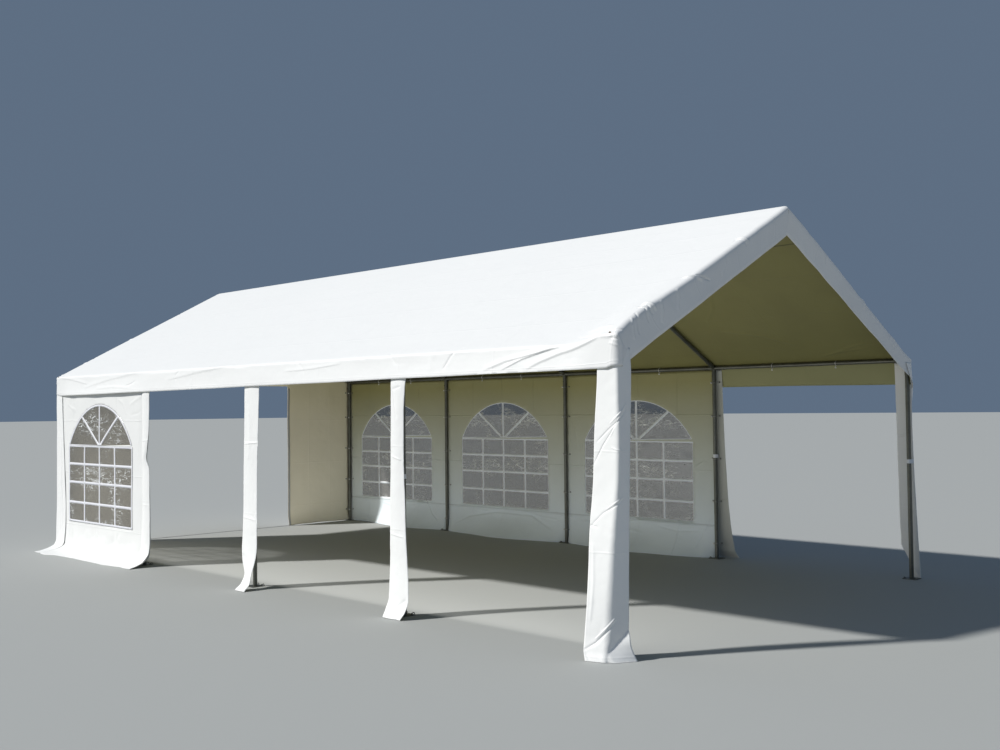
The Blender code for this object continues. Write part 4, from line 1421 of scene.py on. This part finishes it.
# below a kink the cloth turns outwards: (across, height) at its start and end, and how steeply
KINKS = {("front", 1): ((0.150, 0.035), (0.300, 0.185), 0.66)}
CORNER_CREASES = {
    # places (across, down) along each crease, its height, its width and its steep side
    ("front", 1): [crease([(0.260, 0.37), (0.18, 0.45), (0.10, 0.513), (0.015, 0.592)], -0.0035, 0.0055),
                   crease([(0.250, 0.34), (0.18, 0.41), (0.11, 0.475)], 0.0035, 0.0090, 1),
                   crease([(0.190, 0.435), (0.13, 0.52), (0.07, 0.603), (0.00, 0.730)], -0.0035, 0.0055),
                   crease([(0.200, 0.40), (0.16, 0.47), (0.12, 0.55)], 0.0030, 0.0080, 1),
                   crease([(0.130, 0.62), (0.17, 0.635), (0.22, 0.64)], 0.0025, 0.0070, 1),
                   crease([(0.250, 0.93), (0.17, 0.98), (0.09, 1.024), (0.00, 1.114)], -0.0030, 0.0060),
                   crease([(0.230, 0.92), (0.17, 0.96), (0.11, 1.00)], 0.0025, 0.0080, 1),
                   crease([(0.000, 1.10), (0.03, 1.105), (0.06, 1.11)], -0.0025, 0.0060),
                   crease([(0.210, 1.665), (0.155, 1.725), (0.08, 1.80), (0.00, 1.85)], -0.0045, 0.0070),
                   crease([(0.200, 1.65), (0.15, 1.70), (0.07, 1.78)], 0.0040, 0.0110, 1),
                   crease([(0.060, 1.98), (0.03, 1.91), (0.010, 1.86)], -0.0030, 0.0070),
                   crease([(0.030, 1.20), (0.04, 1.45), (0.03, 1.70)], 0.0025, 0.0100)],
    ("front", -1): [crease([(0.100, 0.95), (0.13, 1.30), (0.125, 1.75)], 0.006, 0.026, -1),
                    crease([(0.060, 0.60), (0.09, 1.20), (0.07, 1.80)], 0.004, 0.012)],
}
print("creases of the corner sleeves:", sum(len(found) for found in CORNER_CREASES.values()))


# %% Hang the corner sleeves
def corner_at(row, share):
    """Place and facing at a share of the way over the fold of a corner sleeve."""
    long_edge, fold, gable_edge = (Vector(row[i:i + 2]) for i in (0, 2, 4))
    first, second = (fold - long_edge).length, (gable_edge - fold).length
    along = share * (first + second) - first
    before = fold - (fold - long_edge).normalized() * FOLD_SOFT
    after = fold + (gable_edge - fold).normalized() * FOLD_SOFT
    if along < -FOLD_SOFT:
        spot, way = fold + (fold - long_edge).normalized() * along, fold - long_edge
    elif along > FOLD_SOFT:
        spot, way = fold + (gable_edge - fold).normalized() * along, gable_edge - fold
    else:
        t = (along / FOLD_SOFT + 1) / 2
        spot = before.lerp(fold, t).lerp(fold.lerp(after, t), t)
        way = (fold - before).lerp(after - fold, t)
    way.normalize()
    return spot, Vector((-way.y, way.x))


for (side, end), rows in CORNERS.items():
    post = 0 if end < 0 else BAYS
    label = f"{side}_{post + 1}"
    out, seed = OUTWARD[side], 131 + post + (10 if side == "back" else 0)
    lengths, heights = run_down(rows, WALL_TOP_Z)
    creases = CORNER_CREASES.get((side, end), FLAT_CREASES)
    lift = HEM_LIFT.get((side, end), 0.0)
    kink = KINKS.get((side, end))

    def corner_place(a, b):
        height = float(np.interp(b, lengths, heights))
        spot, facing = corner_at(through(rows, height), a / CORNER_W)
        loose = smooth((WALL_TOP_Z - height) / 0.25)
        relief = 0.004 * (0.6 + ripple(a, b, 0.3, seed)) + 0.002 * crumple(a, b, 0.10, seed + 1)
        relief = loose * (relief + creased(a, b, creases))
        if kink:
            (a0, up0), (a1, up1), steepness = kink
            below = mix(up0, up1, (a - a0) / (a1 - a0)) - height
            relief += steepness * max(0.0, below) * smooth((a - a0) / 0.02)
        spot += facing * relief
        height += lift * max(0.0, 1 - a / CORNER_W / 0.5) * smooth(1 - height / 0.6)
        return Vector((POST_X[post] + end * spot.x, SIDE_Y[side] + out * spot.y, max(height, GROUND_Z)))

    across = [CORNER_W * i / 36 for i in range(37)]
    # The inside of the back corner sleeve at the open end is lit by the sky, so it gets the white cloth as
    # painted light; the others get the painted shade.
    inner = sleeve_white if (side, end) == ("back", 1) else sleeve_shade
    corner, area = hang(f"corner_cloth_{label}", grid_pattern(across, lengths), corner_place, (end, out, 0),
                        [sleeve_white, inner], creases=creases)
    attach(corner, "root")
    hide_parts(f"corner_sleeve_{label}")

# %% [markdown]
# ## The steel frame
# The tubes are hot dip galvanised. Zinc freezes in flakes of slightly different grey, dulls to an
# olive grey and keeps a soft shine. A cell texture gives the flakes, and a noise the dull patches.

# %% Galvanised steel
def galvanised():
    made, tree, shader = new_finish("galvanised_tube")
    spot = put(tree, "TexCoord").outputs["Object"]
    flakes = put(tree, "TexVoronoi", {"Vector": spot, "Scale": 85.0}).outputs["Color"]
    grey = put(tree, "SeparateColor", {0: flakes}).outputs[0]
    dull = clouds(tree, spot, 6.0, Detail=4.0)
    bright = blend_colours(tree, grey, as_colour((0.13, 0.133, 0.115)), as_colour((0.20, 0.202, 0.18)))
    patchy = ranged(tree, dull, 0.35, 0.75)
    tone = blend_colours(tree, patchy, bright, as_colour((0.11, 0.112, 0.094)))
    tree.links.new(tone, shader.inputs["Base Color"])
    rough = ranged(tree, grey, 0.0, 1.0, 0.34, 0.52)
    tree.links.new(rough, shader.inputs["Roughness"])
    shader.inputs["Metallic"].default_value = 0.85
    bent = bumped(tree, grey, 0.08, 0.0006)
    tree.links.new(bent, shader.inputs["Normal"])
    return made


zinc = galvanised()
STEEL = ("truss", "post_front", "post_back", "eave", "ridge")
STEEL_NODES = [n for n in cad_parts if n.startswith(STEEL)]
for name in STEEL_NODES:
    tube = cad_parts[name]
    tube.data.materials.clear()
    tube.data.materials.append(zinc)
print("galvanised pieces:", len(STEEL_NODES))

# %% [markdown]
# ## Small parts
# What ties the tent together is small, but the eye misses it at once when it isn't there: elastic
# loops round the posts and tubes, eyelets, bolts, hooks and straps. Four helpers draw them all. A
# bar or a strap is a section moved along some points, and each part goes into one mesh per kind.

# %% Helpers for small parts
def along_points(points, closed):
    """The direction of a run at each of its points."""
    count = len(points)
    runs = []
    for i in range(count):
        before = points[i - 1] if i > 0 or closed else points[i]
        after = points[(i + 1) % count] if i < count - 1 or closed else points[i]
        runs.append((after - before).normalized())
    return runs


def add_swept(bm, points, corners, first_way, material=0, closed=False):
    """Moves a section along points. corners are (sideways, upwards) from each point."""
    rings, side_way = [], Vector(first_way)
    for point, run in zip(points, along_points(points, closed)):
        side_way = (side_way - run * side_way.dot(run)).normalized()
        up = run.cross(side_way)
        rings.append([bm.verts.new(point + side_way * across + up * above) for across, above in corners])
    count = len(rings) if closed else len(rings) - 1
    for i in range(count):
        near, far = rings[i], rings[(i + 1) % len(rings)]
        for k in range(len(corners)):
            n = (k + 1) % len(corners)
            bm.faces.new((near[k], near[n], far[n], far[k])).material_index = material
    if not closed:
        bm.faces.new(rings[0][::-1]).material_index = material
        bm.faces.new(rings[-1]).material_index = material


def add_cord(bm, points, radius, material=0, closed=False, sides=8):
    corners = [(radius * math.cos(math.tau * k / sides), radius * math.sin(math.tau * k / sides))
               for k in range(sides)]
    run = along_points(points, closed)[0]
    add_swept(bm, points, corners, run.orthogonal(), material, closed)


def add_strap(bm, points, width_way, width, thick, material=0, closed=False):
    w, t = width / 2, thick / 2
    add_swept(bm, points, [(-w, -t), (w, -t), (w, t), (-w, t)], width_way, material, closed)


def add_ball(bm, centre, radius, material=0):
    made = bmesh.ops.create_uvsphere(bm, u_segments=12, v_segments=8, radius=radius,
                                     matrix=Matrix.Translation(centre))
    for face in {face for vert in made["verts"] for face in vert.link_faces}:
        face.material_index = material


# %% Rings, and the end of each small piece
def ring_points(centre, first, second, radius, count=16):
    """Places round a circle that is spanned by two directions."""
    centre, first, second = Vector(centre), Vector(first), Vector(second)
    turns = [math.tau * i / count for i in range(count)]
    return [centre + radius * (first * math.cos(a) + second * math.sin(a)) for a in turns]


def small_piece(name, bm, materials):
    bmesh.ops.recalc_face_normals(bm, faces=bm.faces)
    faces = len(bm.faces)
    piece = finish_mesh(name, bm, materials, 40)
    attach(piece, "root")
    print(f"{name}: {faces} faces")
    return piece


elastic_white = welded_white("elastic_white", (0.78, 0.78, 0.75))
elastic_grey = welded_white("elastic_grey", (0.34, 0.34, 0.32))
# Dark for the eyelets, and also the painted shade of the gaps under the back hems.
eyelet_and_gap_shade_dark = welded_white("eyelet_and_gap_shade_dark", (0.035, 0.034, 0.03))

# %% [markdown]
# The walls are tied to their posts at five heights. A loop runs round the back of the post between
# two eyelets, and a small ball keeps it from slipping.

# %% Elastic ties round the posts
TIE_HEIGHTS = (0.15, 0.57, 1.0, 1.43, 1.77)
TIED_POSTS = [("back", 0), ("back", 1), ("back", 2), ("back", 3), ("front", 0), ("front", 1)]
TIE_R, TIE_BALL_R = 0.0022, 0.009
EYELET_BESIDE, EYELET_OUT = 0.047, 0.0222
EYELET_R, EYELET_RIM_R = 0.0062, 0.0028
for side in ("back", "front"):
    ties = bmesh.new()
    out = OUTWARD[side]
    for post in [p for s, p in TIED_POSTS if s == side]:
        x, y = POST_X[post], SIDE_Y[side]
        for height in TIE_HEIGHTS:
            # each eyelet: its place beside the post, and a direction along the cloth
            right = ((EYELET_BESIDE, EYELET_OUT), (1, 0, 0))
            left = ((-EYELET_BESIDE, EYELET_OUT), (1, 0, 0))
            if post == 0:
                left = ((-EYELET_OUT, -EYELET_BESIDE), (0, 1, 0))
            bend = TUBE_R + 0.0035
            last = math.pi / 2 if post == 0 else math.pi
            loop = [Vector((x + right[0][0], y + out * right[0][1], height + 0.004))]
            for i in range(9):
                a = last * i / 8
                loop.append(Vector((x + bend * math.cos(a), y - out * bend * math.sin(a), height)))
            loop.append(Vector((x + left[0][0], y + out * left[0][1], height + 0.006)))
            add_cord(ties, loop, TIE_R, 0)
            ball_at = (0.016, 0.024) if post == 0 else (-0.024, 0.014)
            add_ball(ties, Vector((x + ball_at[0], y - out * ball_at[1], height)), TIE_BALL_R, 2)
            for (beside, outwards), way in (left, right):
                centre = (x + beside, y + out * outwards, height + 0.005)
                eyelet = ring_points(centre, way, (0, 0, 1), EYELET_R)
                add_cord(ties, eyelet, EYELET_RIM_R, 1, closed=True, sides=6)
    small_piece(f"post_ties_{side}", ties, [elastic_grey, eyelet_and_gap_shade_dark, elastic_white])

# %% [markdown]
# The cover is tied to the eave tubes as well, and each of its corners has an eyelet with a rim.

# %% Toggles under the eave tubes
TOGGLE_BESIDE = (-0.33, 0.33)
TOGGLE_CORD_R, TOGGLE_R = 0.0026, 0.008
toggles = bmesh.new()
for side, y in SIDE_Y.items():
    out = OUTWARD[side]
    for bay in range(BAYS):
        for beside in TOGGLE_BESIDE:
            x = (POST_X[bay] + POST_X[bay + 1]) / 2 + beside
            loop = ring_points((x, y, EAVE_Z), (0, 1, 0), (0, 0, 1), TUBE_R + 0.0032)
            add_cord(toggles, loop, TOGGLE_CORD_R, 0, closed=True)
            low = Vector((x, y - out * 0.012, EAVE_Z - TUBE_R - 0.012))
            stem = [low + Vector((0, 0, 0.006)), low - Vector((0, 0, 0.008))]
            add_cord(toggles, stem, TOGGLE_CORD_R, 0)
            add_ball(toggles, low - Vector((0, 0, 0.010)), TOGGLE_R, 0)
small_piece("eave_toggles", toggles, [elastic_white])

# %% Eyelets in the corners of the cover
CORNER_EYELET_Z, CORNER_EYELET_INSET = 1.938, 0.038
corner_eyelets = bmesh.new()
for end in (-1, 1):
    for side in (-1, 1):
        a = end * (FLAT_HALF - CORNER_EYELET_INSET)
        b = valance_b(a, CORNER_EYELET_Z)
        if side > 0:
            b = COVER_LENGTH - b
        spot = roof_place(a, b) + Vector((0, side * CLOTH_T, 0))
        ring = ring_points(spot, (1, 0, 0), (0, 0, 1), 0.0075)
        add_cord(corner_eyelets, ring, 0.0022, 0, closed=True)
        sunk, proud = Vector((0, side * 0.001, 0)), Vector((0, side * 0.0006, 0))
        add_cord(corner_eyelets, [spot - sunk, spot + proud], 0.006, 1)
eyelet_brass = welded_white("eyelet_rim", (0.30, 0.20, 0.13))
small_piece("corner_eyelets", corner_eyelets, [eyelet_brass, eyelet_and_gap_shade_dark])

# %% [markdown]
# Bolts hold the tubes in the fittings of the trusses, and every foot has two hooks. Their places
# are worked out from the middle of each fitting and the slope of the roof.

# %% Bolts of the fittings, and the hooks at the feet
SOCKET_R = 0.0215
BOLT_AT = 0.085               # from the middle of a fitting to a bolt
FOOT_TOP = 0.006
HOOK_BESIDE, HOOK_IN = 0.042, 0.038
bolts = bmesh.new()


def add_bolt(centre, axis, radius=0.0065, height=0.007):
    start = Vector(centre)
    axis = Vector(axis).normalized()
    add_cord(bolts, [start - axis * 0.002, start + axis * height], radius, 0, sides=6)
    add_cord(bolts, [start, start + axis * (height + 0.005)], radius * 0.45, 0)


for post, x in enumerate(POST_X):
    for side, y in SIDE_Y.items():
        out = OUTWARD[side]
        rise = Vector((0, -out * math.cos(PITCH), math.sin(PITCH)))
        under = Vector((0, -out * math.sin(PITCH), -math.cos(PITCH)))
        add_bolt((x, y - out * SOCKET_R, EAVE_Z - BOLT_AT), (0, -out, 0))
        add_bolt(Vector((x, y, EAVE_Z)) + rise * BOLT_AT + under * SOCKET_R, under)
        slant = SOCKET_R * 0.7
        for way in (-1, 1):
            if 0 <= post + (way - 1) / 2 < BAYS:
                add_bolt((x + way * BOLT_AT, y - out * slant, EAVE_Z - slant), (0, -out, -1))
        for beside in (-HOOK_BESIDE, HOOK_BESIDE):
            foot = Vector((x + beside, y - out * HOOK_IN, FOOT_TOP))
            add_cord(bolts, [foot - Vector((0, 0, 0.002)), foot + Vector((0, 0, 0.010))], 0.0045, 0)
            add_cord(bolts, [foot + Vector((0, 0, 0.009)), foot + Vector((0, -out * 0.020, 0.012)),
                             foot + Vector((0, -out * 0.028, 0.002))], 0.0035, 0)
    for side in (-1, 1):
        under = Vector((0, -side * math.sin(PITCH), -math.cos(PITCH)))
        run = Vector((0, side * math.cos(PITCH), -math.sin(PITCH)))
        add_bolt(Vector((x, 0, RIDGE_Z)) + run * BOLT_AT + under * SOCKET_R, under)
        if 0 <= post + (side - 1) / 2 < BAYS:
            add_bolt((x + side * BOLT_AT, 0, RIDGE_Z - SOCKET_R), (0, 0, -1))
small_piece("bolts_and_hooks", bolts, [zinc])

# %% [markdown]
# Last come the straps: round the open posts, round the rolled door and over the ground across the
# doorway. Beside the back posts the hem lifts, and the dark gap under it is painted shade: a dark
# half disc with a white rim.

# %% Straps
STRAP_Z, STRAP_W, STRAP_T = 1.03, 0.035, 0.0016
strap_white = welded_white("strap_white", (0.80, 0.82, 0.86))
straps = bmesh.new()
for side, post in (("front", 2), ("front", 3), ("front", 4), ("back", 4), ("back", 3)):
    x, y, out = POST_X[post], SIDE_Y[side], OUTWARD[side]
    reach = 0.044 if (side, post) == ("back", 4) else 0.026
    bend = TUBE_R + 0.002
    band = [Vector((x - bend, y + out * reach, STRAP_Z)), Vector((x - bend, y + out * 0.008, STRAP_Z))]
    for i in range(1, 8):
        a = math.pi * (1 - i / 8)
        band.append(Vector((x + bend * math.cos(a), y - out * bend * math.sin(a), STRAP_Z)))
    band += [Vector((x + bend, y + out * 0.008, STRAP_Z)), Vector((x + bend, y + out * reach, STRAP_Z))]
    add_strap(straps, band, (0, 0, 1), STRAP_W, STRAP_T)
for y in ROLL_TIES:
    loop = [Vector((ROLL_X + ROLL_R * 0.90 * math.cos(a), y, ROLL_Z - 0.001 + ROLL_R * 0.86 * math.sin(a)))
            for a in (math.tau * i / 24 for i in range(24))]
    add_strap(straps, loop, (0, 1, 0), 0.025, STRAP_T, closed=True)
small_piece("straps", straps, [strap_white])

# %% The strap on the ground across the doorway
ground_strap = bmesh.new()
strap_run = [Vector((END_WALL_X - 0.006, DOOR_HALF * i / 10, 0.003 + 0.002 * abs(ripple(i, 0, 2, 7))))
             for i in range(-11, 12)]
add_strap(ground_strap, strap_run, (1, 0, 0), 0.03, STRAP_T)
small_piece("ground_strap", ground_strap, [strap_grey])

# %% Painted shade of the gaps under the hems beside the back posts
GAP_SHADE_BESIDE, GAP_SHADE_HALF, GAP_SHADE_HEIGHT, GAP_SHADE_LEAN, GAP_SHADE_Z = 0.135, 0.052, 0.040, 0.012, 0.004
# each gap under a hem: a dark half disc, painted shade, with the hem's white edge round it
gap_shades = bmesh.new()
for post in (1, 2, 3):
    centre = POST_X[post] - GAP_SHADE_BESIDE
    y = SIDE_Y["back"] + 0.006
    turns = [math.pi * i / 10 for i in range(11)]
    arch = [(centre + GAP_SHADE_HALF * math.cos(a), GAP_SHADE_Z + GAP_SHADE_HEIGHT * math.sin(a)) for a in turns]
    rim = [Vector((x, y - GAP_SHADE_LEAN * (1 - z / (GAP_SHADE_Z + GAP_SHADE_HEIGHT)), z)) for x, z in arch]
    gap_shades.faces.new([gap_shades.verts.new(place) for place in rim]).material_index = 0
    add_cord(gap_shades, rim, 0.004, 1)
small_piece("hem_gap_shades", gap_shades, [eyelet_and_gap_shade_dark, elastic_white])

# %% [markdown]
# ## Done
# The size of the dressed tent is printed at the end.

# %% Sizes
low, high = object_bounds()
print("dressed box", [round(v, 3) for v in (*low, *high)])
